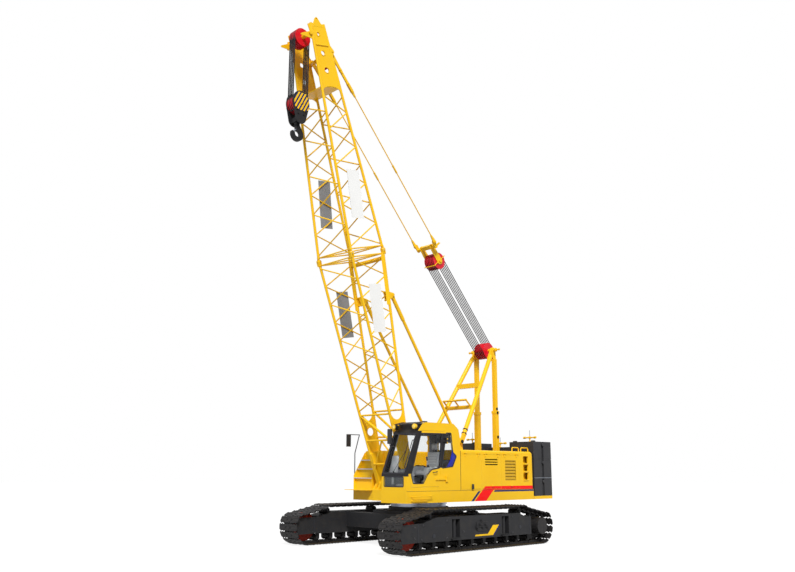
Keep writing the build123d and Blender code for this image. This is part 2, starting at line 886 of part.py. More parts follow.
def left_house():
    """Left machine house: a hollow housing with three hatch openings and step holes."""
    outer = rounded_house(
        block((house_rear, house_front), (bay_inner, house_half_width), (deck_top, house_top))
    )
    hollow = block(
        (house_rear + house_wall, house_front - house_wall),
        (bay_inner + house_wall, house_half_width - hatch_thickness - 10),
        (deck_top - 1, house_top - house_wall - 45),
    )
    house = outer - hollow
    cutters = []
    wall = (house_half_width - hatch_thickness - 20, house_half_width + 1)
    for front, rear in zip(hatch_edges, hatch_edges[1:]):
        cutters.append(block((rear + 10, front - 10), wall, (hatch_bottom, hatch_top)))
    for z_range in step_holes:
        cutters.append(block((step_hole_rear, step_hole_front), wall, z_range))
    pieces = [house - cutters]
    for front, rear in zip(hatch_edges, hatch_edges[1:]):
        for x in hatch_hinges(front, rear):
            for x_range in ((x - 60, x - 25 - fit_gap), (x + 25 + fit_gap, x + 60)):
                lug = (hatch_hinge_z - 10, hatch_hinge_z + 10)
                pieces.append(block(x_range, (house_half_width - 1, hatch_hinge_y), lug))
                pieces.append(knuckle(x_range, hatch_knuckle_radius))
            pieces.append(knuckle((x - 60, x + 60), hatch_pin_radius))
    return joined(pieces)


def hatch(front, rear, vent):
    """Side hatch hung along its upper edge, with its hinge straps."""
    low_x, high_x = rear + 10 + running_gap, front - 10 - running_gap
    top = hatch_top - running_gap
    bottom = hatch_bottom + running_gap
    panel = block((low_x, high_x), (house_half_width - hatch_thickness, house_half_width), (bottom, top))
    rim = hatch_thickness
    pan = (house_half_width - hatch_thickness - 1, house_half_width - hatch_skin)
    panel -= block((low_x + rim, high_x - rim), pan, (bottom + rim, top - 2 * rim))
    middle = (front + rear) / 2
    wall = (house_half_width - hatch_thickness, house_half_width + 1)
    pieces = [panel]
    if vent == "slots":
        for z in slot_heights:
            pieces[0] -= block(
                (middle - slot_length / 2, middle + slot_length / 2), wall, (z, z + slot_height)
            )
    if vent == "louvres":
        opening = (middle - louvre_width / 2, middle + louvre_width / 2)
        pieces[0] -= block(opening, wall, (louvre_bottom, louvre_bottom + louvre_count * louvre_pitch))
        for index in range(louvre_count):
            z = louvre_bottom + index * louvre_pitch
            blade = polygon(
                (house_half_width - hatch_skin - 16, z + louvre_pitch),
                (house_half_width - hatch_skin - 16, z + louvre_pitch - 6),
                (house_half_width, z + 8),
                (house_half_width, z + 20),
            )
            pieces.append(slab(blade, "x", opening[0] - 1, opening[1] + 1))
    holes = []
    inner = house_half_width + running_gap
    for x in hatch_hinges(front, rear):
        x_range = (x - 25, x + 25)
        pieces.append(block(x_range, (house_half_width - 1, hatch_hinge_y), (top - 60, top - 10)))
        pieces.append(block(x_range, (inner, hatch_hinge_y), (top - 60, hatch_hinge_z)))
        pieces.append(knuckle(x_range, hatch_knuckle_radius - running_gap / 2))
        holes.append(knuckle((x - 26, x + 26), hatch_pin_radius + fit_gap))
    return joined(pieces) - holes


def hatch_hinges(front, rear):
    return (rear + 150, front - 150)


def knuckle(x_range, radius):
    """Round piece along a hatch's hinge line."""
    low, high = x_range
    return bar((low, hatch_hinge_y, hatch_hinge_z), (high, hatch_hinge_y, hatch_hinge_z), radius)


def right_house():
    """Right machine house with the stairs in front of it."""
    outer = rounded_house(
        block((house_rear, right_front), (-house_half_width, -bay_inner), (deck_top, house_top))
    )
    hollow = block(
        (house_rear + house_wall, right_front - house_wall),
        (-house_half_width + house_wall, -bay_inner - house_wall),
        (deck_top - 1, house_top - house_wall - 45),
    )
    return outer - hollow


def stair_face(z):
    """Front of the stair well at a height."""
    lean = (stair_front - right_front - 30) / (house_top - 50 - stair_knee_z)
    return stair_front - max(0, z - stair_knee_z) * lean


def riser_face(z):
    """Front of the riser below the tread at a height."""
    return max(stair_face(z) - riser_setback, right_front + 1)


def stairs():
    """Stair well of the right deck: two side plates, risers and a landing plate."""
    profile = polygon(
        (right_front, deck_top),
        (stair_front, deck_top),
        (stair_front, stair_knee_z),
        (right_front + 30, house_top - 50),
        (right_front, house_top - 50),
    )
    sides = [
        slab(profile, "y", -house_half_width, -house_half_width + 15),
        slab(profile, "y", -stair_inner - 15, -stair_inner),
    ]
    risers = []
    y_range = (-house_half_width + 1, -stair_inner - 1)
    for low, high in zip((deck_top,) + tread_heights, tread_heights):
        risers.append(block((right_front, riser_face(high)), y_range, (max(low - 1, deck_top), high)))
    landing = block(
        (stair_front, stair_front + landing_depth),
        (-house_half_width - 70, -stair_inner + 50),
        (deck_top - 10 - landing_thickness, deck_top - 10),
    )
    return joined(sides + risers), landing


def treads():
    """Bright treads on the stairs."""
    pieces = []
    y_range = (-house_half_width + 15, -stair_inner - 15)
    for z, above in zip(tread_heights, tread_heights[1:] + (house_top - 50,)):
        pieces.append(block((riser_face(above), stair_face(z)), y_range, (z, z + tread_thickness)))
    return pieces


def engine_block():
    """Engine, as one plain block on its bearers."""
    low_y = bay_inner + house_wall + engine_clearance
    high_y = house_half_width - hatch_thickness - 10 - engine_clearance
    low_x = house_rear + engine_rear_gap
    return block((low_x, low_x + engine_length), (low_y, high_y), (deck_top, house_top - engine_headroom))


def winches():
    """Hoist and luffing winches: flanged drums between side plates."""
    pieces = []
    half = winch_half_width
    floor = deck_bottom + deck_plate
    for x, z, drum, flange in winch_drums:
        pieces.append(cross_pin(x, z, drum, (-half, half)))
        for side in (-1, 1):
            rim = sorted((side * (half - 30), side * half))
            pieces.append(cross_pin(x, z, flange, rim))
            plate = sorted((side * (half + 10), side * (half + 40)))
            outline = tight_outline([(x - 240, floor, 0), (x + 240, floor, 0), (x, z, 130)])
            pieces.append(slab(outline, "y", *plate))
        pieces.append(cross_pin(x, z, 60, (-half - 40, half + 40)))
    return pieces


# ---------------------------------------------------------------- counterweight


def counterweight_tray():
    return block(
        (weight_rear, frame_rear),
        (-weight_half_width, weight_half_width),
        (deck_bottom, deck_bottom + weight_tray),
    )


def counterweight():
    """Stacked slabs: two towers and a lower middle, with open seams between the layers."""
    low, high = weight_layers[0], weight_layers[-1]
    stack = block((weight_rear, weight_front), (-weight_half_width, weight_half_width), (low, high))
    middle = block(
        (weight_rear - 1, weight_front + 1), (-tower_inner, tower_inner), (weight_centre_top, high + 1)
    )
    seams = []
    for z in weight_layers[1:-1]:
        outer = block(
            (weight_rear - 1, weight_front + 1),
            (-weight_half_width - 1, weight_half_width + 1),
            (z - 5, z + 5),
        )
        core = block(
            (weight_rear + seam_depth, weight_front - seam_depth),
            (-weight_half_width + seam_depth, weight_half_width - seam_depth),
            (z - 6, z + 6),
        )
        seams.append(outer - core)
    groove_x = (weight_front + weight_rear) / 2
    grooves = []
    for side in (-1, 1):
        edge = sorted((side * (weight_half_width - 45), side * (weight_half_width + 1)))
        grooves.append(block((groove_x - 60, groove_x + 60), edge, (low - 1, high + 1)))
    lumps = []
    for y in (tower_inner + lump_width, weight_half_width - lump_width):
        pin = cross_pin(
            (weight_front + weight_rear) / 2 + 300, high - lump_radius / 3, lump_radius, (y - 50, y + 50)
        )
        lumps += both_sides(pin)
    return stack - [middle] - seams - grooves + lumps


# ---------------------------------------------------------------- gantry


def leg_point(share, side):
    """Point on a front gantry leg, from its foot to the head."""
    return (
        gantry_foot_x + share * (gantry_head_x - gantry_foot_x),
        side * (gantry_foot_half_width + share * (gantry_head_half_width - gantry_foot_half_width)),
        gantry_foot_z + share * (gantry_head_z - gantry_foot_z),
    )


def front_legs():
    """Slanting pair of gantry legs with cross beams and a ladder-like platform."""
    pieces = []
    for side in (-1, 1):
        pieces.append(bar(leg_point(0.06, side), leg_point(0.93, side), front_leg_radius))
        half = gantry_foot_eye / 2
        y = sorted((side * (gantry_foot_half_width - half), side * (gantry_foot_half_width + half)))
        far = leg_point(0.08, side)
        outline = tight_outline([(gantry_foot_x, gantry_foot_z, 72), (far[0], far[2], 60)])
        hole = cross_pin(gantry_foot_x, gantry_foot_z, backstop_pin_radius + fit_gap, (y[0] - 1, y[1] + 1))
        pieces.append(slab(outline, "y", *y) - hole)
        head = leg_point(0.9, side)
        outline = tight_outline([(gantry_head_x, gantry_head_z, 85), (head[0], head[2], 60)])
        half = head_eye_half
        y = sorted((side * (gantry_head_half_width - half), side * (gantry_head_half_width + half)))
        pieces.append(slab(outline, "y", *y))
    for share, size in gantry_beams:
        x, y, z = leg_point(share, 1)
        pieces.append(block((x - size / 2, x + size / 2), (-y, y), (z - size / 2, z + size / 2)))
    x, y, z = leg_point(gantry_beams[-1][0], 1)
    y -= front_leg_radius
    front_x, front_z = x + platform_reach[0], z + platform_reach[1]
    pieces.append(bar((front_x, -y, front_z), (front_x, y, front_z), platform_bar, 4))
    for share in (-0.95, 0, 0.95):
        pieces.append(bar((x, share * y, z), (front_x, share * y, front_z), platform_bar, 4))
    reach = gantry_head_half_width + 110
    pieces.append(cross_pin(gantry_head_x, gantry_head_z, gantry_pin_radius, (-reach, reach)))
    return joined(pieces)


def back_legs():
    """Upright pair of telescopic gantry legs, pinned to the head."""
    pieces = []
    for side in (-1, 1):
        y = side * back_leg_half_width
        size = back_leg_size / 2
        lower = block(
            (back_leg_x - size, back_leg_x + size), (y - size, y + size), (deck_top, back_leg_collar_z)
        )
        collar = block(
            (back_leg_x - size - 12, back_leg_x + size + 12),
            (y - size - 12, y + size + 12),
            (back_leg_collar_z - 90, back_leg_collar_z),
        )
        size = back_leg_upper_size / 2
        upper = block(
            (back_leg_x - size, back_leg_x + size),
            (y - size, y + size),
            (back_leg_collar_z - 1, gantry_head_z - 290),
        )
        eyes = []
        for offset_y in (-head_eye_half - 0.3 - 28, head_eye_half + 0.3):
            low = side * gantry_head_half_width + offset_y
            outline = tight_outline(
                [
                    (back_leg_x - size, gantry_head_z - 360, 0),
                    (back_leg_x + size, gantry_head_z - 360, 0),
                    (gantry_head_x, gantry_head_z, 80),
                ]
            )
            hole = cross_pin(gantry_head_x, gantry_head_z, gantry_pin_radius + fit_gap, (low - 1, low + 29))
            eyes.append(slab(outline, "y", low, low + 28) - hole)
        pieces.append(joined([lower, collar, upper] + eyes))
    return pieces


def sheave_pack(x, z, rim, root, pitch, count, y_middle=0.0):
    """Rope sheaves side by side on one pin: a rim beside each rope groove."""
    half = pitch * count / 2
    pack = cross_pin(x, z, root, (y_middle - half, y_middle + half))
    rims = []
    for index in range(count + 1):
        y = y_middle - half + index * pitch
        low = max(y - 9, y_middle - half)
        high = min(y + 9, y_middle + half)
        rims.append(cross_pin(x, z, rim, (low, high)))
    return joined([pack] + rims)


# ---------------------------------------------------------------- boom

boom_plane = Plane(
    (boom_foot_x, 0, boom_foot_z),
    x_dir=(math.cos(math.radians(boom_angle)), 0, math.sin(math.radians(boom_angle))),
    z_dir=(-math.sin(math.radians(boom_angle)), 0, math.cos(math.radians(boom_angle))),
)


def boom_section_size(station):
    """Half width and half depth between chord centres at a distance from the foot pin."""
    if station <= joint_station:
        share = station / joint_station
        start, end = (foot_half_width, foot_half_depth), (joint_half_width, joint_half_depth)
    else:
        share = (station - joint_station) / (tip_station - joint_station)
        start, end = (joint_half_width, joint_half_depth), (tip_half_width, tip_half_depth)
    return [low + share * (high - low) for low, high in zip(start, end)]


tip_taper = (joint_half_width - tip_half_width) / joint_station
head_start = head_bottom_station + head_plate / 2 * tip_taper + fit_gap
lacing_flat = lacing_radius * math.cos(math.pi / 6)  # from a lacing bar's axis to its flat side
corners = ((-1, -1), (1, -1), (1, 1), (-1, 1))  # (left or right, top or underside), in order round the boom


def chord_point(station, corner):
    half_width, half_depth = boom_section_size(station)
    return (station, corner[0] * half_width, corner[1] * half_depth)


def lacing(stations):
    """Zigzag tubes on the four faces, with the chords' nodes taken in turn."""
    tubes = []
    for index, (start, end) in enumerate(zip(stations, stations[1:])):
        for first, second in zip(corners, corners[1:] + corners[:1]):
            if index % 2:
                first, second = second, first
            tubes.append(bar(chord_point(start, first), chord_point(end, second), lacing_radius, 6))
    return tubes


def end_frame(station):
    """Four struts and a diagonal across the boom."""
    points = [chord_point(station, corner) for corner in corners]
    struts = [bar(a, b, lacing_radius, 6) for a, b in zip(points, points[1:] + points[:1])]
    return struts + [bar(points[0], points[2], lacing_radius, 6)]


def chords(start, end):
    """Four chord tubes, cut square to the boom at both ends."""
    space = block((start, end), (-track_gauge, track_gauge), (-track_gauge, track_gauge))
    tubes = []
    for corner in corners:
        tube = bar(
            chord_point(start - chord_radius, corner), chord_point(end + chord_radius, corner), chord_radius
        )
        tubes.append(tube & space)
    return tubes


def tip_stations():
    stations = [joint_station + lattice_end_gap + 50]
    pitch = tip_first_pitch
    for _ in range(tip_bays):
        stations.append(stations[-1] + pitch)
        pitch *= tip_pitch_ratio
    return stations


def butt_stations():
    last = joint_station - lattice_end_gap - 90
    step = (last - butt_first_station) / butt_bays
    return [butt_first_station + index * step for index in range(butt_bays + 1)]


def connectors(side):
    """Pinned eyes at the joint: forks on the lower section, tongues on the upper one."""
    pieces = []
    for corner in corners:
        _, y, z = chord_point(joint_station, corner)
        pin_range = (z - 62, z + 62)
        if side < 0:
            for low, high in ((z - 55, z - 15), (z + 15, z + 55)):
                outline = tight_outline(
                    [(joint_station - connector_reach - 20, y, 40), (joint_station, y, 48)]
                )
                pieces.append(slab(outline, "z", low, high))
            pieces.append(upright_pin(joint_station, y, connector_pin_radius, *pin_range))
        else:
            outline = tight_outline([(joint_station, y, 48), (joint_station + connector_reach + 20, y, 40)])
            tongue = slab(outline, "z", z - 15 + fit_gap, z + 15 - fit_gap)
            hole = upright_pin(joint_station, y, connector_pin_radius + fit_gap, *pin_range)
            pieces.append(tongue - hole)
    return pieces


def boom_butt():
    """Lower boom section: plated legs on the foot pins, then lattice up to the joint."""
    top = joint_station - connector_reach
    start = 700.0
    pieces = chords(start, top) + lacing(butt_stations()) + end_frame(joint_station - lattice_end_gap)
    for side in (-1, 1):
        half = foot_eye_width / 2
        foot = tight_outline([(0, 0, foot_eye_radius - 5), (start + 200, -165, 40), (start + 200, 165, 40)])
        y = side * foot_half_width
        eye = slab(foot, "y", y - half, y + half)
        hole = cross_pin(0, 0, foot_pin_radius + fit_gap, (y - half - 1, y + half + 1))
        pieces.append(eye - hole)
        pieces.append(leg_plate(side))
    for station in (butt_first_station - 120, 1300.0):
        for level in (-1, 1):
            left = chord_point(station, (1, level))
            right = chord_point(station, (-1, level))
            pieces.append(bar(left, right, lacing_radius + 8, 6))
    pieces += backstop_brackets() + doublers()
    return boom_plane.location * joined(pieces + connectors(-1))


def leg_plate(side):
    """Side plate of a boom leg, with an arched top and a lightening hole."""
    start, end = 700.0, butt_first_station
    low_half = boom_section_size(start)
    high_half = boom_section_size(end)
    outline = polygon((start, -low_half[1]), (end, -high_half[1]), (end, high_half[1]), (start, low_half[1]))
    arch = Pos(end, 0) * Ellipse(330, high_half[1] - 30)
    hole = Pos(end - 640, 0) * Circle(110)
    middle = boom_section_size((start + end) / 2)[0]
    lean = math.degrees(math.atan2(high_half[0] - low_half[0], end - start))
    plate = slab(outline - arch - hole, "y", -6, 6)
    turned = Pos(start, 0, 0) * Rot(0, 0, lean) * Pos(-start, 0, 0) * plate
    placed = Pos(0, low_half[0], 0) * turned
    return placed if side > 0 else mirror(placed, about=Plane.XZ)


def doublers():
    """Stiff bars inside the back chords, from the joint down past the backstop brackets."""
    start, end = backstop_station - 250, joint_station - lattice_end_gap
    pieces = []
    for side in (-1, 1):
        points = []
        for station in (start, end):
            half_width, half_depth = boom_section_size(station)
            points.append((station, side * half_width, half_depth - chord_radius - 20))
        pieces.append(bar(*points, 45, 4))
    half_width, half_depth = boom_section_size(end - 130)
    pieces.append(bar((end - 130, -half_width, half_depth), (end - 130, half_width, half_depth), 60, 4))
    return pieces


def backstop_brackets():
    """Brackets behind the back chords that hold the backstop pins."""
    pieces = []
    chord_y, chord_z = boom_section_size(backstop_station)
    for side in (-1, 1):
        half = backstop_eye_width / 2 + running_gap
        for centre in (backstop_half_width - half - 10, backstop_half_width + half + 10):
            y = sorted((side * (centre - 10), side * (centre + 10)))
            outline = tight_outline(
                [
                    (backstop_station - 130, chord_z, 12),
                    (backstop_station + 130, chord_z, 12),
                    (backstop_station, backstop_pin_back, 55),
                ]
            )
            pieces.append(slab(outline, "y", *y))
        y = sorted((side * (backstop_half_width - half - 30), side * (chord_y)))
        for station in (backstop_station - 110, backstop_station + 110):
            pieces.append(bar((station, y[0], chord_z), (station, y[1], chord_z), 26, 6))
        for low, high in ((-half - 40, -half - 19), (half + 19, half + 40)):
            pin = sorted((side * (backstop_half_width + low), side * (backstop_half_width + high)))
            pieces.append(cross_pin(backstop_station, backstop_pin_back, backstop_pin_radius + 8, pin))
    return pieces


def boom_tip():
    """Upper boom section: lattice up to the plated head."""
    bottom = joint_station + connector_reach
    stations = tip_stations()
    pieces = chords(bottom, head_bottom_station) + lacing(stations)
    pieces += end_frame(joint_station + lattice_end_gap)
    return boom_plane.location * joined(pieces + connectors(1))


def head_side_plate():
    """Left side plate of the head, lying in the XZ plane, with its lightening holes, horns and lug."""
    low_depth = boom_section_size(head_start)[1]
    high_depth = boom_section_size(tip_station)[1]
    web = polygon(
        (head_start, -low_depth),
        (tip_station, -high_depth),
        (tip_station, high_depth),
        (head_start, low_depth),
    )
    arch = Pos(head_start, 0) * Ellipse(head_arch, low_depth - chord_radius)
    holes = [Pos(station, -offset) * Circle(radius) for station, offset, radius in head_holes]
    lug_depth = boom_section_size(pendant_lug_station)[1]
    additions = [
        tight_outline([(head_pin_station - 40, -200, 130), (head_pin_station - 60, -horn_reach, 28)]),
        tight_outline([(head_pin_station - 60, -200, 110), (tip_station - 60, -320, 30)]),
        tight_outline(
            [
                (pendant_lug_station - 170, lug_depth, 20),
                (pendant_lug_station + 170, lug_depth, 20),
                (pendant_lug_station, pendant_lug_back, 70),
            ]
        ),
    ]
    return slab(web - arch - holes + additions, "y", -head_plate / 2, head_plate / 2)


def boom_head():
    """Head on the upper section: side plates between the chords, cross plates, sheave pin and lugs."""
    low_width = boom_section_size(head_start)[0]
    high_width = boom_section_size(tip_station)[0]
    lean = math.degrees(math.atan2(high_width - low_width, tip_station - head_start))
    turn = Pos(head_start, low_width, 0) * Rot(0, 0, lean) * Pos(-head_start, 0, 0)
    pieces = both_sides(turn * head_side_plate()) + chords(head_start, tip_station)
    for station in cross_plate_stations:
        half_width, half_depth = boom_section_size(station)
        low = -half_depth if station == cross_plate_stations[0] else half_depth - 130
        pieces.append(block((station - 12, station + 12), (-half_width, half_width), (low, half_depth + 20)))
    reach = high_width + 70
    pieces.append(cross_pin(head_pin_station, -head_pin_forward, head_pin_radius, (-reach, reach)))
    pieces += guide_brackets()
    inner = pendant_half_width - pendant_eye_width / 2 - 2 * running_gap
    pin = (inner - 12, boom_section_size(pendant_lug_station)[0] + 30)
    pieces += both_sides(cross_pin(pendant_lug_station, pendant_lug_back, pendant_pin_radius, pin))
    cap = (inner - 12, inner)
    pieces += both_sides(cross_pin(pendant_lug_station, pendant_lug_back, pendant_pin_radius + 16, cap))
    apex = tight_outline(
        [(tip_station - 70, -150, 20), (tip_station + apex_reach, 0, 50), (tip_station - 70, 150, 20)]
    )
    apex -= Pos(tip_station + apex_reach, 0) * Circle(apex_bore_radius)
    pieces += both_sides(slab(apex, "y", high_width - apex_plate / 2, high_width + apex_plate / 2))
    return boom_plane.location * joined(pieces)


def guide_brackets():
    """Two plates behind the head with the pin of the guide sheaves."""
    half = guide_sheave_pitch * guide_sheave_count / 2 + running_gap
    depth = boom_section_size(cross_plate_stations[1])[1]
    outline = tight_outline([(cross_plate_stations[1], depth - 60, 60), (guide_station, guide_back, 55)])
    pin = cross_pin(guide_station, guide_back, guide_pin_radius, (-half - 30, half + 30))
    return both_sides(slab(outline, "y", half, half + 18)) + [pin]


# ---------------------------------------------------------------- sheaves and ropes


def boom_point(station, back):
    """World x and z of a point beside the boom's axis."""
    point = boom_plane.from_local_coords((station, 0, back))
    return point.X, point.Z


def groove_positions(count, pitch):
    """Middle of each rope groove of a pack, across the machine."""
    return [(index - (count - 1) / 2) * pitch for index in range(count)]


def head_sheaves():
    half = sheave_pitch * sheave_count / 2 + 1
    pack = sheave_pack(
        head_pin_station, -head_pin_forward, sheave_rim_radius, sheave_root_radius, sheave_pitch, sheave_count
    )
    bore = cross_pin(head_pin_station, -head_pin_forward, head_pin_radius + fit_gap, (-half, half))
    return boom_plane.location * (pack - bore)


def guide_sheaves():
    """Small sheaves behind the head that lead the hoist rope back along the boom."""
    half = guide_sheave_pitch * guide_sheave_count / 2 + 1
    root = guide_sheave_radius - guide_groove
    pack = sheave_pack(
        guide_station, guide_back, guide_sheave_radius, root, guide_sheave_pitch, guide_sheave_count
    )
    bore = cross_pin(guide_station, guide_back, guide_pin_radius + fit_gap, (-half, half))
    return boom_plane.location * (pack - bore)


def hoist_ropes():
    """Straight falls of the hoist rope between the head sheaves and the block."""
    x, z = boom_point(head_pin_station, -head_pin_forward)
    falls = []
    for side in (-1, 1):
        fall_x = x + side * (sheave_root_radius + rope_radius)
        for y in groove_positions(sheave_count, sheave_pitch):
            falls.append(bar((fall_x, y, z - block_drop), (fall_x, y, z), rope_radius, 8))
    return falls


def hook_block():
    """Two cheeks with stripe plates, the sheave pin and the trunnion that holds the hook."""
    x, pin_z = boom_point(head_pin_station, -head_pin_forward)
    z = pin_z - block_drop
    outline = tight_outline(
        [
            (x, z - cheek_foot_drop, cheek_foot_radius),
            (x, z, cheek_radius),
            (x, z + cheek_crown_rise, cheek_crown_radius),
            (x - 1, z, cheek_radius),
        ]
    )
    side, corner = stripe_half_width, stripe_half_width - stripe_clip
    low, high = z - stripe_bottom, z + cheek_crown_rise + cheek_crown_radius - stripe_clip / 2
    clips = ((side, low), (side, high - 1.6 * stripe_clip), (corner, high))
    stripe = polygon((x + corner, low - 0.7 * stripe_clip), *[(x + a, b) for a, b in clips],
                     *[(x - a, b) for a, b in reversed(clips)], (x - corner, low - 0.7 * stripe_clip))
    pieces = []
    for side in (-1, 1):
        inner = side * cheek_inner
        outer = side * (cheek_inner + cheek_thickness)
        skin = side * (cheek_inner + cheek_thickness + stripe_plate)
        pieces.append(slab(outline, "y", *sorted((inner, outer))))
        pieces.append(slab(stripe, "y", *sorted((side * (cheek_inner + 1), skin))))
    reach = cheek_inner + cheek_thickness + stripe_plate + 12
    pieces.append(cross_pin(x, z, head_pin_radius, (-reach, reach)))
    inner = (-cheek_inner - 1, cheek_inner + 1)
    trunnion_z = z - trunnion_drop
    pieces.append(block((x - 95, x + 95), inner, (trunnion_z - 70, trunnion_z + 70)))
    for angle in (65, 115, 232, 308):
        spacer_x = x + spacer_circle * math.cos(math.radians(angle))
        spacer_z = z + spacer_circle * math.sin(math.radians(angle))
        pieces.append(cross_pin(spacer_x, spacer_z, spacer_radius, inner))
    hole = upright_pin(x, 0, hook_shank_radius + fit_gap, trunnion_z - 80, trunnion_z + 80)
    return joined(pieces) - hole


def block_sheaves():
    x, pin_z = boom_point(head_pin_station, -head_pin_forward)
    z = pin_z - block_drop
    half = sheave_pitch * sheave_count / 2 + 1
    pack = sheave_pack(x, z, sheave_rim_radius, sheave_root_radius, sheave_pitch, sheave_count)
    return pack - cross_pin(x, z, head_pin_radius + fit_gap, (-half, half))


def load_hook():
    """Hook with its shank and nut, turning in the trunnion."""
    x, pin_z = boom_point(head_pin_station, -head_pin_forward)
    z = pin_z - block_drop
    ring_z = z - hook_ring_drop
    trunnion_z = z - trunnion_drop
    half = hook_thickness / 2
    body = tight_outline([(x, ring_z, hook_outer_radius), (x, ring_z + 250, 62)])
    throat = Pos(x + 8, ring_z + 12) * Circle(hook_throat_radius)
    mouth = polygon(
        (x + 8, ring_z + 12),
        (x + 90, ring_z + 30),
        (x + 260, ring_z + 110),
        (x + 260, ring_z + 300),
        (x + 58, ring_z + 235),
        (x + 40, ring_z + 85),
    )
    hook = slab(body - throat - mouth, "y", -half, half)
    shank = upright_pin(x, 0, hook_shank_radius, ring_z + 250, trunnion_z + 130)
    collar = upright_pin(x, 0, hook_shank_radius + 30, ring_z + 260, trunnion_z - 70 - bearing_gap)
    nut = upright_pin(x, 0, hook_shank_radius + 34, trunnion_z + 70 + bearing_gap, trunnion_z + 125)
    return hook + [shank, collar, nut]


# ---------------------------------------------------------------- bridle and pendants

lug_x, lug_z = boom_point(pendant_lug_station, pendant_lug_back)
line_angle = math.atan2(lug_z - gantry_head_z, lug_x - gantry_head_x)
line_length = math.hypot(lug_x - gantry_head_x, lug_z - gantry_head_z)
line_plane = Plane(
    (gantry_head_x, 0, gantry_head_z),
    x_dir=(math.cos(line_angle), 0, math.sin(line_angle)),
    z_dir=(-math.sin(line_angle), 0, math.cos(line_angle)),
)
yoke_distance = bridle_distance + yoke_reach
yoke_outer = pendant_half_width - pendant_eye_width / 2 - fit_gap


def gantry_sheaves():
    pack = sheave_pack(
        gantry_head_x, gantry_head_z, luff_rim_radius, luff_root_radius, luff_sheave_pitch, luff_sheave_count
    )
    half = luff_sheave_pitch * luff_sheave_count / 2 + 1
    return pack - cross_pin(gantry_head_x, gantry_head_z, gantry_pin_radius + fit_gap, (-half, half))


def bridle_sheaves():
    pack = sheave_pack(
        bridle_distance, 0, luff_rim_radius, luff_root_radius, luff_sheave_pitch, luff_sheave_count
    )
    half = luff_sheave_pitch * luff_sheave_count / 2 + 1
    return line_plane.location * (
        pack - cross_pin(bridle_distance, 0, gantry_pin_radius + fit_gap, (-half, half))
    )


def luffing_ropes():
    """Straight falls of the luffing rope between the gantry head and the bridle."""
    falls = []
    for side in (-1, 1):
        level = side * (luff_root_radius + rope_radius)
        for y in groove_positions(luff_sheave_count, luff_sheave_pitch):
            falls.append(
                line_plane.location * bar((0, y, level), (bridle_distance, y, level), rope_radius, 8)
            )
    return falls


def bridle_yoke():
    """Side plates from the sheave pin to a cross beam with upturned ends."""
    half = luff_sheave_pitch * luff_sheave_count / 2 + running_gap
    outline = tight_outline([(bridle_distance, 0, 110), (yoke_distance - 130, 0, 90)])
    pieces = both_sides(slab(outline, "y", half, half + 25))
    pieces.append(cross_pin(bridle_distance, 0, gantry_pin_radius, (-half - 60, half + 60)))
    pieces.append(block((yoke_distance - 180, yoke_distance - 60), (-half - 40, half + 40), (-55, 55)))
    arm = tight_outline([(yoke_distance - 150, 0, 60), (yoke_distance, 0, 62)])
    pieces += both_sides(slab(arm, "y", yoke_outer - 35, yoke_outer))
    pieces.append(block((yoke_distance - 175, yoke_distance - 105), (-yoke_outer, yoke_outer), (-45, 45)))
    horn = polygon(
        (yoke_distance - 175, 40),
        (yoke_distance - 105, 40),
        (yoke_distance - 120, 190),
        (yoke_distance - 175, 230),
    )
    pieces += both_sides(slab(horn, "y", yoke_outer - 35, yoke_outer))
    for level in (-1, 1):
        guard = level * (luff_rim_radius + 30)
        pieces.append(bar((bridle_distance, -half - 25, guard), (bridle_distance, half + 25, guard), 14))
        for side in (-1, 1):
            y = side * (half + 12)
            pieces.append(bar((bridle_distance, y, 0), (bridle_distance, y, guard), 12))
    return line_plane.location * joined(pieces)


def pendants():
    """Pair of pendant bars from the bridle to the boom head, each with a chain of links on top."""
    chains = []
    half = pendant_eye_width / 2
    for side in (-1, 1):
        y = side * pendant_half_width
        eye = slab(
            tight_outline([(yoke_distance + 220, 0, 24), (yoke_distance, 0, 60)]), "y", y - half, y + half
        )
        pin_end = side * (yoke_outer + fit_gap)
        boss = cross_pin(yoke_distance, 0, 34, sorted((pin_end, y + side * (half + 30))))
        pieces = [eye, boss]
        link_start = line_length - pendant_chain
        pieces.append(bar((yoke_distance + 200, y, 0), (link_start - 60, y, 0), pendant_radius))
        middle = (yoke_distance + link_start) / 2
        pieces.append(bar((middle - 130, y, 0), (middle + 130, y, 0), pendant_radius + 12))
        pieces.append(
            slab(tight_outline([(link_start - 160, 0, 22), (link_start, 0, 42)]), "y", y - half, y + half)
        )
        ends = [link_start, link_start + 0.2 * pendant_chain, link_start + 0.56 * pendant_chain]
        for index, (low, high) in enumerate(zip(ends, ends[1:])):
            plates = [(-half - 12, -half), (half, half + 12)] if index % 2 == 0 else [(-half, half)]
            outline = tight_outline([(low, 0, 42), (high, 0, 42)])
            for inner, outer in plates:
                pieces.append(slab(outline, "y", y + inner, y + outer))
        for end in ends:
            pieces.append(cross_pin(end, 0, 20, (y - half - 22, y + half + 22)))
        top = slab(tight_outline([(ends[-1], 0, 42), (line_length, 0, 62)]), "y", y - half, y + half)
        hole = cross_pin(line_length, 0, pendant_pin_radius + fit_gap, (y - half - 1, y + half + 1))
        for inner, outer in ((-half - 12, -half), (half, half + 12)):
            pieces.append(
                slab(tight_outline([(ends[-1] - 90, 0, 30), (ends[-1], 0, 42)]), "y", y + inner, y + outer)
            )
        pieces.append(top - hole)
        chains.append(line_plane.location * joined(pieces))
    return chains


# ---------------------------------------------------------------- backstops

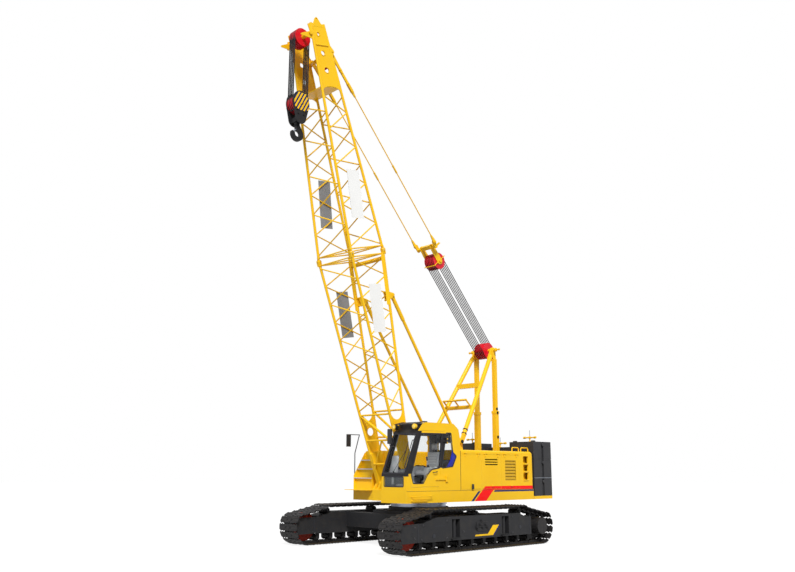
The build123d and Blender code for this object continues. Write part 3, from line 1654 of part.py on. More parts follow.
backstop_top = boom_point(backstop_station, backstop_pin_back)
backstop_angle = math.atan2(backstop_top[1] - gantry_foot_z, backstop_top[0] - gantry_foot_x)
backstop_length = math.hypot(backstop_top[1] - gantry_foot_z, backstop_top[0] - gantry_foot_x)
backstop_plane = Plane(
    (gantry_foot_x, 0, gantry_foot_z),
    x_dir=(math.cos(backstop_angle), 0, math.sin(backstop_angle)),
    z_dir=(-math.sin(backstop_angle), 0, math.cos(backstop_angle)),
)


def backstop_tube():
    """Lower tube with the eye on the gantry's pin, bored for the rod."""
    y = backstop_half_width
    half = backstop_eye_width / 2
    tube = bar((80, y, 0), (backstop_tube_length, y, 0), backstop_tube_radius)
    bore = bar((1300, y, 0), (backstop_tube_length + 1, y, 0), backstop_rod_radius + bearing_gap)
    eye = slab(tight_outline([(0, 0, backstop_eye_radius), (170, 0, 40)]), "y", y - half, y + half)
    hole = cross_pin(0, 0, backstop_pin_radius + fit_gap, (y - half - 1, y + half + 1))
    return backstop_plane.location * (tube + eye - [bore, hole])


def backstop_rod():
    """Upper rod with a sleeve that slides over the tube, and the eye at the boom."""
    y = backstop_half_width
    half = backstop_eye_width / 2
    sleeve_start = backstop_tube_length - 30
    sleeve_end = sleeve_start + backstop_sleeve_length
    rod = bar((1900, y, 0), (backstop_length - 100, y, 0), backstop_rod_radius)
    sleeve = bar((sleeve_start, y, 0), (sleeve_end, y, 0), backstop_sleeve_radius)
    sleeve -= bar((sleeve_start - 1, y, 0), (sleeve_end - 25, y, 0), backstop_tube_radius + bearing_gap)
    outline = tight_outline([(backstop_length - 150, 0, 36), (backstop_length, 0, backstop_eye_radius)])
    eye = slab(outline, "y", y - half, y + half)
    reach = half + running_gap - fit_gap
    pin = cross_pin(backstop_length, 0, backstop_pin_radius, (y - reach, y + reach))
    return backstop_plane.location * joined([rod, sleeve, eye, pin])


# ---------------------------------------------------------------- fittings


def sign_boards():
    """Blank boards on the sides of the two boom sections."""
    boards = []
    for side, (low, high, centre, slant) in [(side, place) for side in (1, -1) for place in board_places]:
        low_width, _ = boom_section_size(low)
        high_width, _ = boom_section_size(high)
        lean = math.degrees(math.atan2(high_width - low_width, high - low))
        outline = Pos((low + high) / 2, centre) * Rot(0, 0, slant) * Rectangle(high - low, board_width)
        board = slab(outline, "y", lacing_flat + board_gap, lacing_flat + board_gap + board_thickness)
        board = Pos(low, low_width, 0) * Rot(0, 0, lean) * Pos(-low, 0, 0) * board
        board = board if side > 0 else mirror(board, about=Plane.XZ)
        boards.append(boom_plane.location * board)
    return boards


def cab_visor():
    """Slatted visor over the top of the screen, with a round lamp at each end."""
    y_low, y_high = bay_inner + visor_inset, house_half_width - visor_inset
    knee = (roof_front + 80, cab_roof)
    front = (screen_top_x + visor_overhang, lamp_z + lamp_radius - 10)
    rail = polygon(
        (roof_front - 60, cab_roof),
        knee,
        front,
        (front[0], front[1] + visor_thickness),
        (knee[0], knee[1] + visor_thickness),
        (roof_front - 60, cab_roof + visor_thickness),
    )
    pieces = [slab(rail, "y", y, y + 30) for y in (y_low, y_high - 30)]
    slope = (front[1] - knee[1]) / (front[0] - knee[0])
    pitch = (front[0] - knee[0]) / visor_slats
    for index in range(visor_slats):
        low, high = knee[0] + (index + 0.25) * pitch, knee[0] + (index + 0.75) * pitch
        z_low, z_high = knee[1] + slope * (low - knee[0]) + 6, knee[1] + slope * (high - knee[0]) + 6
        slat = polygon((low, z_low), (high, z_high), (high, z_high + 12), (low, z_low + 12))
        pieces.append(slab(slat, "y", y_low, y_high))
    for y in (y_low + lamp_inset, y_high - lamp_inset):
        pieces.append(bar((front[0] - 60, y, lamp_z), (front[0] + 50, y, lamp_z), lamp_radius))
    return joined(pieces)


def mirrors():
    """Mirror on its bent arm at the right stairs."""
    x, y = stair_front - 60, -house_half_width - 25
    low = (x, y, stair_knee_z - 300)
    high = (x, y, 2520)
    arm = [
        bar(low, high, 14),
        bar(high, (x - 170, y, 3060), 14),
        bar((x - 170, y, 3050), (x + 190, y - 60, 3050), 12),
    ]
    arm.append(block((x - 20, x + 20), (y, -house_half_width), (stair_knee_z - 300, stair_knee_z - 260)))
    glass = block((x + 110, x + 260), (y - 95, y - 60), (2700, 3060))
    return [joined(arm + [glass])]


def lifting_fittings():
    """Lifting tees on the counterweight: one on each tower and one on its middle."""
    x = (weight_front + weight_rear) / 2
    tower_y = (tower_inner + weight_half_width) / 2
    pieces = []
    for y, top in ((-tower_y, weight_layers[-1]), (0, weight_centre_top), (tower_y, weight_layers[-1])):
        tee = [upright_pin(x, y, tee_radius * 3, top, top + 20)]
        tee.append(upright_pin(x, y, tee_radius, top + 19, top + tee_height))
        tee.append(bar(
            (x, y - tee_length / 2, top + tee_height), (x, y + tee_length / 2, top + tee_height), tee_radius
        ))
        for end in (-tee_length / 2, 0, tee_length / 2):
            low, high = (x, y + end - tee_knob, top + tee_height), (x, y + end + tee_knob, top + tee_height)
            tee.append(bar(low, high, tee_knob))
        pieces.append(joined(tee))
    return pieces


# ---------------------------------------------------------------- output


def main():
    os.makedirs("parts", exist_ok=True)
    write("carbody", [carbody()])
    write("slewing_ring_fixed", [ring(ring_bottom, ring_split - bearing_gap, ring_radius - 30, ring_bore)])
    write("slewing_ring_turning", [ring(ring_split, deck_bottom, ring_radius, ring_bore)])
    pairs = {
        "side_frame": [side_frame()],
        "track": [track()],
        "idler": [idler()],
        "sprocket": [sprocket()],
        "rollers": rollers(),
    }
    for name, shapes in pairs.items():
        write(f"{name}_left", shapes)
        write(f"{name}_right", [mirror(shape, about=Plane.XZ) for shape in shapes])
    write("revolving_frame", [revolving_frame()])
    write("cab_shell", [cab_shell()])
    write("cab_glass", cab_glass())
    write("cab_door", [cab_door()])
    write("door_glass", [door_glass()])
    write("operator_seat", [operator_seat()])
    write("control_consoles", control_consoles())
    write("cab_visor", [cab_visor()])
    write("left_house", [left_house()])
    vents = (("front", "plain"), ("middle", "slots"), ("rear", "louvres"))
    for (name, vent), front, rear in zip(vents, hatch_edges, hatch_edges[1:]):
        write(f"hatch_{name}", [hatch(front, rear, vent)])
    write("right_house", [right_house()])
    write("stairs", stairs())
    write("treads", treads())
    write("mirrors", mirrors())
    write("engine_block", [engine_block()])
    write("winches", winches())
    write("counterweight_tray", [counterweight_tray()])
    write("counterweight", [counterweight()])
    write("lifting_fittings", lifting_fittings())
    write("gantry_front_legs", [front_legs()])
    write("gantry_back_legs", back_legs())
    write("gantry_sheaves", [gantry_sheaves()])
    write("boom_butt", [boom_butt()])
    write("boom_tip", [boom_tip()])
    write("boom_head", [boom_head()])
    write("head_sheaves", [head_sheaves()])
    write("guide_sheaves", [guide_sheaves()])
    write("sign_boards", sign_boards())
    write("hoist_ropes", hoist_ropes())
    write("hook_block", [hook_block()])
    write("block_sheaves", [block_sheaves()])
    write("load_hook", [load_hook()])
    write("luffing_ropes", luffing_ropes())
    write("bridle_yoke", [bridle_yoke()])
    write("bridle_sheaves", [bridle_sheaves()])
    write("pendants", pendants())
    write("backstop_tubes", both_sides(backstop_tube()))
    write("backstop_rods", both_sides(backstop_rod()))


if __name__ == "__main__":
    main()
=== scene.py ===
import bpy
import bmesh
import math
from mathutils import Matrix, Vector


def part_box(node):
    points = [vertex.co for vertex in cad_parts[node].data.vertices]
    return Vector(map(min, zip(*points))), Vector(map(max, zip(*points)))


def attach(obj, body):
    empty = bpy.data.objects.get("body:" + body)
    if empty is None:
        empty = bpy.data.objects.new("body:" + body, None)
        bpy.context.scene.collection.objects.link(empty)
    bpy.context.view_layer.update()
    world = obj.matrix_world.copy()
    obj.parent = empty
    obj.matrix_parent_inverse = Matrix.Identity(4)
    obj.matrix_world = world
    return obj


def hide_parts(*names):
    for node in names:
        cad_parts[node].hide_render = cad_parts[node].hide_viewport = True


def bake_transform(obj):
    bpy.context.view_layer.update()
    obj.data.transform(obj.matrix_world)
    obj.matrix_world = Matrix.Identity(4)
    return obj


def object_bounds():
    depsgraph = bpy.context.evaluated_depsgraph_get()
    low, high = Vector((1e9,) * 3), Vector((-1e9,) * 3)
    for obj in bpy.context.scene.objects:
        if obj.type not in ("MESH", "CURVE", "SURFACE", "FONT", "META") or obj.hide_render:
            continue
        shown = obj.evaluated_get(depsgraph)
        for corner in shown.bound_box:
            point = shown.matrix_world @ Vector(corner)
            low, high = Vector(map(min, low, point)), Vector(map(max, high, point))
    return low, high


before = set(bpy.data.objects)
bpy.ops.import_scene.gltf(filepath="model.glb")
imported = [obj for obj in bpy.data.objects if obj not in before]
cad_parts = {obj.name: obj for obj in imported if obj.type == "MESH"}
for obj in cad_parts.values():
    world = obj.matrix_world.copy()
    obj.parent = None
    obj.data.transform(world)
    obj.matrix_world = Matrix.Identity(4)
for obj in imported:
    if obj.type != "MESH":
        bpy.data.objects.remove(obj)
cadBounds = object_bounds()
print("frame loaded:", len(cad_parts), "nodes")


# camera, first of all

view = {"place": (16.696, 16.460, 1.999), "target": (0.400, -0.378, 7.104), "roll": 0.131, "lens": 36.10,
        "sensor": 36.0, "shift": (-0.0026, 0.0144), "reach": 200.0}
camera = bpy.data.objects.new("camera", bpy.data.cameras.new("camera"))
bpy.context.scene.collection.objects.link(camera)
aim = (Vector(view["target"]) - Vector(view["place"])).to_track_quat("-Z", "Y").to_matrix().to_4x4()
roll = Matrix.Rotation(math.radians(view["roll"]), 4, "Z")
camera.matrix_world = Matrix.Translation(view["place"]) @ aim @ roll
camera.data.lens = view["lens"]
camera.data.sensor_width = view["sensor"]
camera.data.shift_x, camera.data.shift_y = view["shift"]
camera.data.clip_end = view["reach"]
bpy.context.scene.camera = camera


# colours and nodes

def linearColour(hexText, dim=1.0):
    channels = [int(hexText[i:i + 2], 16) / 255 for i in (1, 3, 5)]
    return tuple((c / 12.92 if c <= 0.04045 else ((c + 0.055) / 1.055) ** 2.4) * dim for c in channels) + (1.0,)


def setInputs(tree, node, inputs):
    # each input is a number, a colour or a socket to link; inputs without names are in order
    for name, value in inputs.items() if isinstance(inputs, dict) else enumerate(inputs):
        if isinstance(value, bpy.types.NodeSocket):
            tree.links.new(value, node.inputs[name])
        else:
            node.inputs[name].default_value = value


def addNode(tree, kind, inputs=(), output=None, **settings):
    # gives the new node, or the output that is asked for
    node = tree.nodes.new(kind)
    for name, value in settings.items():
        setattr(node, name, value)
    setInputs(tree, node, inputs)
    return node if output is None else node.outputs[output]


def worked(tree, value, *steps):
    # a sum worked out one step after another; each step is an operation and the value it takes
    for operation, *others in steps:
        value = addNode(tree, "ShaderNodeMath", (value, *others), 0, operation=operation)
    return value


def allOf(tree, first, *masks):
    # 1 where every mask is 1
    return worked(tree, first, *(("MULTIPLY", mask) for mask in masks))


def anyOf(tree, first, *masks):
    # 1 where any mask is 1
    return worked(tree, first, *(("MAXIMUM", mask) for mask in masks))


def inside(tree, *zones):
    # 1 where each value lies between its low and its high limit; None leaves that side open
    tests = []
    for value, low, high in zones:
        for operation, limit in (("GREATER_THAN", low), ("LESS_THAN", high)):
            if limit is not None:
                tests.append(worked(tree, value, (operation, limit)))
    return allOf(tree, *tests)


def painted(tree, colour, *coats):
    # coats of colour laid one over another, each where its own mask is 1
    colour = linearColour(colour) if isinstance(colour, str) else colour
    for mask, coat in coats:
        coat = linearColour(coat) if isinstance(coat, str) else coat
        colour = addNode(tree, "ShaderNodeMix", {0: mask, 6: colour, 7: coat}, 2, data_type="RGBA")
    return colour


def blotches(tree, place, sizeMm, spread=None, detail=3.0):
    # cloudy pattern, each blotch as wide as sizeMm; spread is (low, high, new low, new high)
    cloud = addNode(tree, "ShaderNodeTexNoise", {"Vector": place, "Scale": 1000 / sizeMm, "Detail": detail,
                                                 "Roughness": 0.55}, "Fac")
    return addNode(tree, "ShaderNodeMapRange", (cloud, *spread), 0) if spread else cloud


def wornAndHighlitEdges(tree, place, widthMm):
    # 1 along the outward edges, in patches: partly paint worn thin, partly a painted highlight where the edges
    #                                        would catch the light
    soft = addNode(tree, "ShaderNodeBevel", {"Radius": widthMm / 1000}, 0, samples=4)
    true = addNode(tree, "ShaderNodeNewGeometry", output="True Normal")
    along = addNode(tree, "ShaderNodeVectorMath", (soft, true), "Value", operation="DOT_PRODUCT")
    lit = addNode(tree, "ShaderNodeMapRange", (along, 0.97, 0.80, 0.0, 1.0), 0)
    return allOf(tree, lit, blotches(tree, place, 70, (0.3, 0.6, 0.35, 0.85), 4.0))


def newMaterial(name):
    material = bpy.data.materials.new(name)
    material.use_nodes = True
    tree = material.node_tree
    return material, tree, addNode(tree, "ShaderNodeTexCoord", output="Object")


def finishShader(tree, height, depthMm, inputs):
    # the finish's inputs, and a relief as deep as depthMm
    shader = tree.nodes["Principled BSDF"]
    setInputs(tree, shader, inputs)
    relief = {"Height": height, "Distance": depthMm / 1000, "Strength": 1.0}
    setInputs(tree, shader, {"Normal": addNode(tree, "ShaderNodeBump", relief, "Normal")})


# finishes

def paintedSteel(name, mainHex, shadeHex, roughness=0.38, coat=0.05, dirtHex="#8C7B5A", dirtShare=0.08,
                 marks=None, edgeWearAndHighlightHex=None):
    # two-pack enamel sprayed on welded plate: smooth, glossy, slightly wavy, dusty in places
    material, tree, place = newMaterial(name)
    colour = painted(tree, mainHex, (blotches(tree, place, 900, (0.3, 0.7, 0.0, 1.0)), shadeHex))
    if marks:
        colour = marks(tree, colour, *addNode(tree, "ShaderNodeSeparateXYZ", (place,)).outputs)
    colour = painted(tree, colour, (blotches(tree, place, 260, (0.5, 0.85, 0.0, dirtShare), 6.0), dirtHex))
    # a brighter colour laid on the outward edges: partly worn paint, partly a painted highlight
    if edgeWearAndHighlightHex:
        colour = painted(tree, colour, (wornAndHighlitEdges(tree, place, 9), edgeWearAndHighlightHex))
    gloss = blotches(tree, place, 120, (0.2, 0.8, roughness - 0.05, roughness + 0.08))
    orangePeel = blotches(tree, place, 9, detail=2.0)  # drawn coarser than its real 2 mm
    finishShader(tree, orangePeel, 0.12, {"Base Color": colour, "Roughness": gloss, "Specular IOR Level": 0.2,
                                          "Coat Weight": coat, "Coat Roughness": 0.12})
    return material


# the edge colour is partly worn paint, partly a painted highlight along the outward edges
livery = {"yellow": "#F9C61A", "shade": "#F5BF14", "red": "#FF0303", "navy": "#16245C", "blue": "#0B1FA8",
          "black": "#17171A", "lining": "#85878A", "edge": "#FFE04A"}
stripes = {"side": 1.612, "deck": 1.19, "lean": 1.15, "foot": (-1.06, -0.57), "band": (1.49, 1.59),
           "line": (1.43, 1.48), "lineEnd": -1.12, "slash": (-0.525, -0.42), "slashTop": 1.46}


def sideStripes(tree, colour, x, y, z):
    # red band with its slanting foot, navy line under it and navy slash before it, on the outer sides only
    outer = inside(tree, (worked(tree, y, ("ABSOLUTE",)), stripes["side"], None))
    slant = worked(tree, z, ("SUBTRACT", stripes["deck"]), ("MULTIPLY", stripes["lean"]), ("ADD", x))
    foot = inside(tree, (slant, *stripes["foot"]))
    band = inside(tree, (slant, None, stripes["foot"][1]), (z, stripes["band"][0], None))
    red = allOf(tree, anyOf(tree, foot, band), outer, inside(tree, (z, None, stripes["band"][1])))
    line = inside(tree, (z, *stripes["line"]), (slant, None, stripes["lineEnd"]))
    slash = inside(tree, (slant, *stripes["slash"]), (z, None, stripes["slashTop"]))
    navy = allOf(tree, anyOf(tree, line, slash), outer)
    return painted(tree, colour, (red, livery["red"]), (navy, livery["navy"]))


cabRoom = {"x": (-1.0, 2.06), "y": (0.725, 1.598), "z": (1.515, 3.24), "rear": 0.045, "rearBend": 2.87,
           "rearLean": 0.2, "roof": 3.05, "roofLean": -0.75}
cabBlacks = {"frontLean": 0.3474, "front": 2.556, "frontZ": (1.93, 3.035), "pillarX": (0.56, 0.88),
             "pillarZ": (2.09, 3.0), "barX": 2.0, "barZ": (1.862, 1.93), "browX": 1.37, "browY": (0.72, 1.60),
             "browZ": 3.03}


def cabColours(tree, colour, x, y, z):
    # grey lining inside; screen pillars, middle pillar, roof front and the bar under the screen are black
    rearWall = worked(tree, z, ("SUBTRACT", cabRoom["rearBend"]), ("MAXIMUM", 0.0),
                      ("MULTIPLY", cabRoom["rearLean"]))
    lining = inside(tree, (worked(tree, x, ("SUBTRACT", rearWall)), cabRoom["rear"], None),
                    (worked(tree, x, ("MULTIPLY", cabRoom["roofLean"]), ("ADD", z)), None, cabRoom["roof"]),
                    (x, *cabRoom["x"]), (y, *cabRoom["y"]), (z, *cabRoom["z"]))
    front = worked(tree, z, ("MULTIPLY", cabBlacks["frontLean"]), ("ADD", x))  # steady along the leaning pillar
    black = anyOf(tree, inside(tree, (front, cabBlacks["front"], None), (z, *cabBlacks["frontZ"])),
                  inside(tree, (x, *cabBlacks["pillarX"]), (z, *cabBlacks["pillarZ"])),
                  inside(tree, (x, cabBlacks["barX"], None), (z, *cabBlacks["barZ"])),
                  inside(tree, (x, cabBlacks["browX"], None), (y, *cabBlacks["browY"]),
                         (z, cabBlacks["browZ"], None)))
    return painted(tree, colour, (lining, livery["lining"]), (black, livery["black"]))


# the last colour is the painted shade laid between the louvres
louvres = {"x": (-2.44, -1.94), "z": (1.74, 2.32), "first": 1.76, "pitch": 0.088, "paintedShade": "#8F6A14"}


def louvredStripes(tree, colour, x, y, z):
    # painted shade between the louvres, darkest at the foot of each pitch and fading upwards, under the side's
    # stripes
    wave = worked(tree, z, ("SUBTRACT", louvres["first"]), ("DIVIDE", louvres["pitch"]), ("FRACT",))
    shade = addNode(tree, "ShaderNodeMapRange", (wave, 0.0, 1.0, 0.75, 0.35), 0)
    paintedShadeMask = allOf(tree, inside(tree, (x, *louvres["x"]), (z, *louvres["z"])), shade)
    return sideStripes(tree, painted(tree, colour, (paintedShadeMask, louvres["paintedShade"])), x, y, z)


blockPinZ = (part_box("block_sheaves")[0][2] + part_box("block_sheaves")[1][2]) / 2
hazard = {"period": 0.105, "lean": 0.5, "share": 0.48, "plate": 0.1725, "below": 0.24, "above": 0.36}


def hazardStripes(tree, colour, x, y, z):
    # yellow and navy diagonals on the raised plates of the hook block
    plate = inside(tree, (worked(tree, y, ("ABSOLUTE",)), hazard["plate"], None),
                   (z, blockPinZ - hazard["below"], blockPinZ + hazard["above"]))
    wave = worked(tree, z, ("MULTIPLY", hazard["lean"]), ("ADD", x), ("DIVIDE", hazard["period"]), ("FRACT",))
    navy = inside(tree, (wave, None, hazard["share"]))
    return painted(tree, colour, (plate, painted(tree, livery["yellow"], (navy, livery["navy"]))))


def boardSides(tree, colour, x, y, z):
    # the boards are white outside, and bare grey galvanised sheet inside
    faces = addNode(tree, "ShaderNodeSeparateXYZ", (addNode(tree, "ShaderNodeTexCoord", output="Normal"),), 1)
    outward = inside(tree, (worked(tree, faces, ("MULTIPLY", y)), 0.0, None))
    return painted(tree, "#8B8D90", (outward, colour))


decal = {"face": 2.32, "foot": 0.35, "z": (0.345, 0.60), "tail": (-0.47, -0.22), "edge": (-0.53, -0.47),
         "base": (-0.30, 0.27), "baseZ": (0.345, 0.385)}


def frameDecal(tree, colour, x, y, z):
    # yellow tick with a navy edge on the outer face of each side frame
    face = inside(tree, (worked(tree, y, ("ABSOLUTE",)), decal["face"], None))
    slant = worked(tree, z, ("SUBTRACT", decal["foot"]), ("ADD", x))
    tick = anyOf(tree, inside(tree, (slant, *decal["tail"]), (z, *decal["z"])),
                 inside(tree, (slant, *decal["base"]), (z, *decal["baseZ"])))
    tick = allOf(tree, tick, face)
    edge = inside(tree, (slant, *decal["edge"]), (z, *decal["z"]))
    return painted(tree, colour, (tick, livery["yellow"]), (allOf(tree, edge, face), livery["navy"]))


idler = {"middle": 2.015, "flange": 0.07, "tread": 0.16, "axle": "#242426"}


def darkAxle(tree, colour, x, y, z):
    # only the treads of the idler are red; its guide flange and axle are as dark as the frame
    fromMiddle = worked(tree, y, ("ABSOLUTE",), ("SUBTRACT", idler["middle"]), ("ABSOLUTE",))
    dark = anyOf(tree, inside(tree, (fromMiddle, idler["tread"], None)),
                 inside(tree, (fromMiddle, None, idler["flange"])))
    return painted(tree, colour, (dark, idler["axle"]))


def machinedSteel(name, colourHex, roughness):
    # turned steel: bright, with fine rings that the tool left
    material, tree, place = newMaterial(name)
    colour = painted(tree, colourHex, (blotches(tree, place, 60, (0.3, 0.7, 0.0, 1.0), 4.0), "#9AA2B0"))
    rings = addNode(tree, "ShaderNodeTexWave", {"Vector": place, "Scale": 40.0, "Distortion": 0.4}, "Fac",
                    wave_type="RINGS", rings_direction="Z")
    gloss = addNode(tree, "ShaderNodeMapRange", (rings, 0.0, 1.0, roughness - 0.06, roughness + 0.08), 0)
    finishShader(tree, rings, 0.1, {"Base Color": colour, "Metallic": 1.0, "Roughness": gloss})
    return material


def treadPlate(name, lugMm=30):
    # rolled aluminium chequer plate: bright lugs on a duller ground
    material, tree, place = newMaterial(name)
    cells = addNode(tree, "ShaderNodeTexVoronoi", {"Vector": place, "Scale": 1000 / lugMm}, "Distance",
                    feature="F1")
    lug = addNode(tree, "ShaderNodeMapRange", (cells, 0.2, 0.35, 1.0, 0.0), 0)
    gloss = addNode(tree, "ShaderNodeMapRange", (lug, 0.0, 1.0, 0.5, 0.3), 0)
    finishShader(tree, lug, 1.2, {"Base Color": painted(tree, "#B9BCC4", (lug, "#E4E6EC")), "Metallic": 0.7,
                                  "Roughness": gloss})
    return material


def bands(tree, place, periodMm, direction, distortion=0.0):
    # stripes across one direction, periodMm from one crown to the next
    return addNode(tree, "ShaderNodeTexWave", {"Vector": place, "Scale": 1000 / periodMm / 6.28,
                                               "Distortion": distortion}, "Fac", wave_type="BANDS",
                   bands_direction=direction)


def wireRope(name, strandMm=30):
    # greased steel wire rope: strands laid in a helix; grease hides most of the wires' shine
    material, tree, place = newMaterial(name)
    strands = bands(tree, place, strandMm, "DIAGONAL", 0.2)
    finishShader(tree, strands, 1.0, {"Base Color": painted(tree, "#101011", (strands, "#262628")),
                                      "Roughness": blotches(tree, place, 25, (0.3, 0.7, 0.55, 0.75)),
                                      "Specular IOR Level": 0.25})
    return material


def forgedTrack(name):
    # forged steel shoes: dark mill scale, with brown dust and rust on what faces up
    material, tree, place = newMaterial(name)
    normal = addNode(tree, "ShaderNodeTexCoord", output="Normal")
    upward = addNode(tree, "ShaderNodeSeparateXYZ", (normal,), 2)
    rust = allOf(tree, addNode(tree, "ShaderNodeMapRange", (upward, 0.93, 0.995, 0.0, 0.6), 0),
                 blotches(tree, place, 45, (0.35, 0.6, 0.3, 1.0), 5.0))
    scale = blotches(tree, place, 70, (0.35, 0.7, 0.0, 1.0), 6.0)
    finishShader(tree, blotches(tree, place, 12, detail=5.0), 0.8, {
        "Base Color": painted(tree, "#201F21", (scale, "#2C2A29"), (rust, "#5C4A28")), "Metallic": 0.2,
        "Specular IOR Level": 0.3, "Roughness": blotches(tree, place, 18, (0.3, 0.7, 0.45, 0.7), 4.0)})
    return material


def seatCloth(name, threadMm=6):
    # woven polyester: threads 2 mm apart, drawn at 6 mm so that the weave shows
    material, tree, place = newMaterial(name)
    weave = allOf(tree, bands(tree, place, threadMm, "X"), bands(tree, place, threadMm, "Y"))
    finishShader(tree, weave, 0.8, {"Base Color": painted(tree, "#A3A6AA", (weave, "#C6C8CB")),
                                    "Roughness": 0.9, "Sheen Weight": 0.3})
    return material


def mouldedPlastic(name, colourHex, roughness=0.55):
    # moulded polypropylene with a fine spark-eroded grain
    material, tree, place = newMaterial(name)
    darker = linearColour(colourHex, 0.8)
    colour = painted(tree, colourHex, (blotches(tree, place, 150, (0.3, 0.7, 0.0, 1.0)), darker))
    grain = blotches(tree, place, 4, detail=2.0)
    finishShader(tree, grain, 0.2, {"Base Color": colour, "Roughness": roughness})
    return material


def cabGlass(name):
    # laminated safety glass: clear with a faint grey tint and a thin film of dust, too thin to bend the view
    material, tree, place = newMaterial(name)
    film = blotches(tree, place, 300, (0.4, 0.8, 0.0, 0.05), 5.0)
    setInputs(tree, tree.nodes["Principled BSDF"], {"Base Color": linearColour("#F3F5F5"), "Roughness": film,
                                                    "Transmission Weight": 1.0, "IOR": 1.1})
    return material


print("materials")
yellowPaint = paintedSteel("craneEnamel", livery["yellow"], livery["shade"], edgeWearAndHighlightHex=livery["edge"])
stripedPaint = paintedSteel("craneEnamelStriped", livery["yellow"], livery["shade"], marks=sideStripes,
                            edgeWearAndHighlightHex=livery["edge"])
cabPaint = paintedSteel("cabEnamel", livery["yellow"], livery["shade"], marks=cabColours)
louvredPaint = paintedSteel("craneEnamelLouvred", livery["yellow"], livery["shade"], marks=louvredStripes)
# the last colour given to the charcoal and frame enamels is their lighter edge: partly worn paint, partly a
# painted highlight
charcoalPaint = paintedSteel("charcoalEnamel", "#343436", "#2F2F31", 0.5, 0.0, "#6B6459", 0.12,
                             edgeWearAndHighlightHex="#5A5A5C")
framePaint = paintedSteel("frameEnamel", "#29292B", "#242426", 0.55, 0.0, "#4B453B", 0.25, frameDecal,
                          "#4C4A48")
blockPaint = paintedSteel("hookBlockEnamel", "#262628", "#202022", 0.45, 0.0, "#55504A", 0.12, hazardStripes)
redPaint = paintedSteel("sheaveEnamel", "#E0142C", "#C81126", 0.35, 0.3, "#5A3A30", 0.12)
idlerPaint = paintedSteel("idlerEnamel", "#BE3A26", "#8E2E20", 0.5, 0.0, "#3B352F", 0.4, darkAxle)
blackPaint = paintedSteel("blackEnamel", "#1E1E20", "#18181A", 0.45, 0.0, "#55504A", 0.1)
boardPaint = paintedSteel("boardEnamel", "#F4F4F2", "#ECECEA", 0.4, 0.2, "#A9A49A", 0.06, boardSides)
bluePaint = paintedSteel("bluePanelEnamel", livery["blue"], "#0A1A92", 0.35, 0.3, "#55504A", 0.03)
galvanised = machinedSteel("galvanisedSteel", "#B4B7BC", 0.45)
ringSteel = machinedSteel("turnedRingSteel", "#8E95A3", 0.3)
treadMetal = treadPlate("chequerPlate")
ropeSteel = wireRope("wireRope")
trackSteel = forgedTrack("forgedTrackSteel")
seatFabric = seatCloth("seatCloth")
cabPlastic = mouldedPlastic("cabPlasticDark", "#3A3B3E")
lightPlastic = mouldedPlastic("cabPlasticLight", "#B9BBBE")
rubberSeal = mouldedPlastic("rubberSeal", "#14161F", 0.6)
mirrorBlack = mouldedPlastic("mirrorPlastic", "#1B1B1D", 0.45)
clearGlass = cabGlass("laminatedGlass")
lampLens = paintedSteel("lampLens", "#FFE27A", "#FFD95C", 0.15, 0.8, "#B5A36A", 0.02)

nodeFinish = {
    "cab_shell": cabPaint, "cab_door": cabPaint, "left_house": stripedPaint, "right_house": stripedPaint,
    "revolving_frame": stripedPaint, "hatch_front": stripedPaint, "hatch_middle": stripedPaint,
    "hatch_rear": louvredPaint, "side_frame_left": framePaint, "side_frame_right": framePaint,
    "counterweight": charcoalPaint, "winches": charcoalPaint, "carbody": framePaint,
    "rollers_left": trackSteel, "rollers_right": trackSteel, "sprocket_left": trackSteel,
    "sprocket_right": trackSteel, "track_left": trackSteel, "track_right": trackSteel,
    "idler_left": idlerPaint, "idler_right": idlerPaint, "hook_block": blockPaint, "load_hook": blackPaint,
    "gantry_sheaves": redPaint, "bridle_sheaves": redPaint, "head_sheaves": redPaint, "guide_sheaves": redPaint,
    "block_sheaves": redPaint, "slewing_ring_fixed": ringSteel, "slewing_ring_turning": ringSteel,
    "treads": treadMetal, "cab_glass": clearGlass, "door_glass": clearGlass, "sign_boards": boardPaint,
    "cab_visor": mirrorBlack, "mirrors": mirrorBlack, "control_consoles": lightPlastic,
    "operator_seat": seatFabric, "engine_block": charcoalPaint, "hoist_ropes": ropeSteel,
    "luffing_ropes": ropeSteel,
}
for node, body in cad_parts.items():
    body.data.materials.clear()
    body.data.materials.append(nodeFinish.get(node, yellowPaint))


# making pieces

def finishPiece(name, mesh, material, body, sharpDegrees=35.0):
    mesh.materials.clear()
    mesh.materials.append(material)
    mesh.polygons.foreach_set("use_smooth", [True] * len(mesh.polygons))
    mesh.set_sharp_from_angle(angle=math.radians(sharpDegrees))
    piece = bpy.data.objects.new(name, mesh)
    bpy.context.scene.collection.objects.link(piece)
    if body:
        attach(piece, body)
    return piece


def meshFrom(name, shape, merge=0.0002):
    if merge:
        bmesh.ops.remove_doubles(shape, verts=shape.verts, dist=merge)
    bmesh.ops.recalc_face_normals(shape, faces=shape.faces)
    mesh = bpy.data.meshes.new(name)
    shape.to_mesh(mesh)
    shape.free()
    return mesh


def finishShape(name, shape, material, body):
    return finishPiece(name, meshFrom(name, shape), material, body)


def appliedMesh(source):
    # what the object's modifiers make of it, as a plain mesh
    bpy.context.view_layer.update()
    return bpy.data.meshes.new_from_object(source.evaluated_get(bpy.context.evaluated_depsgraph_get()))


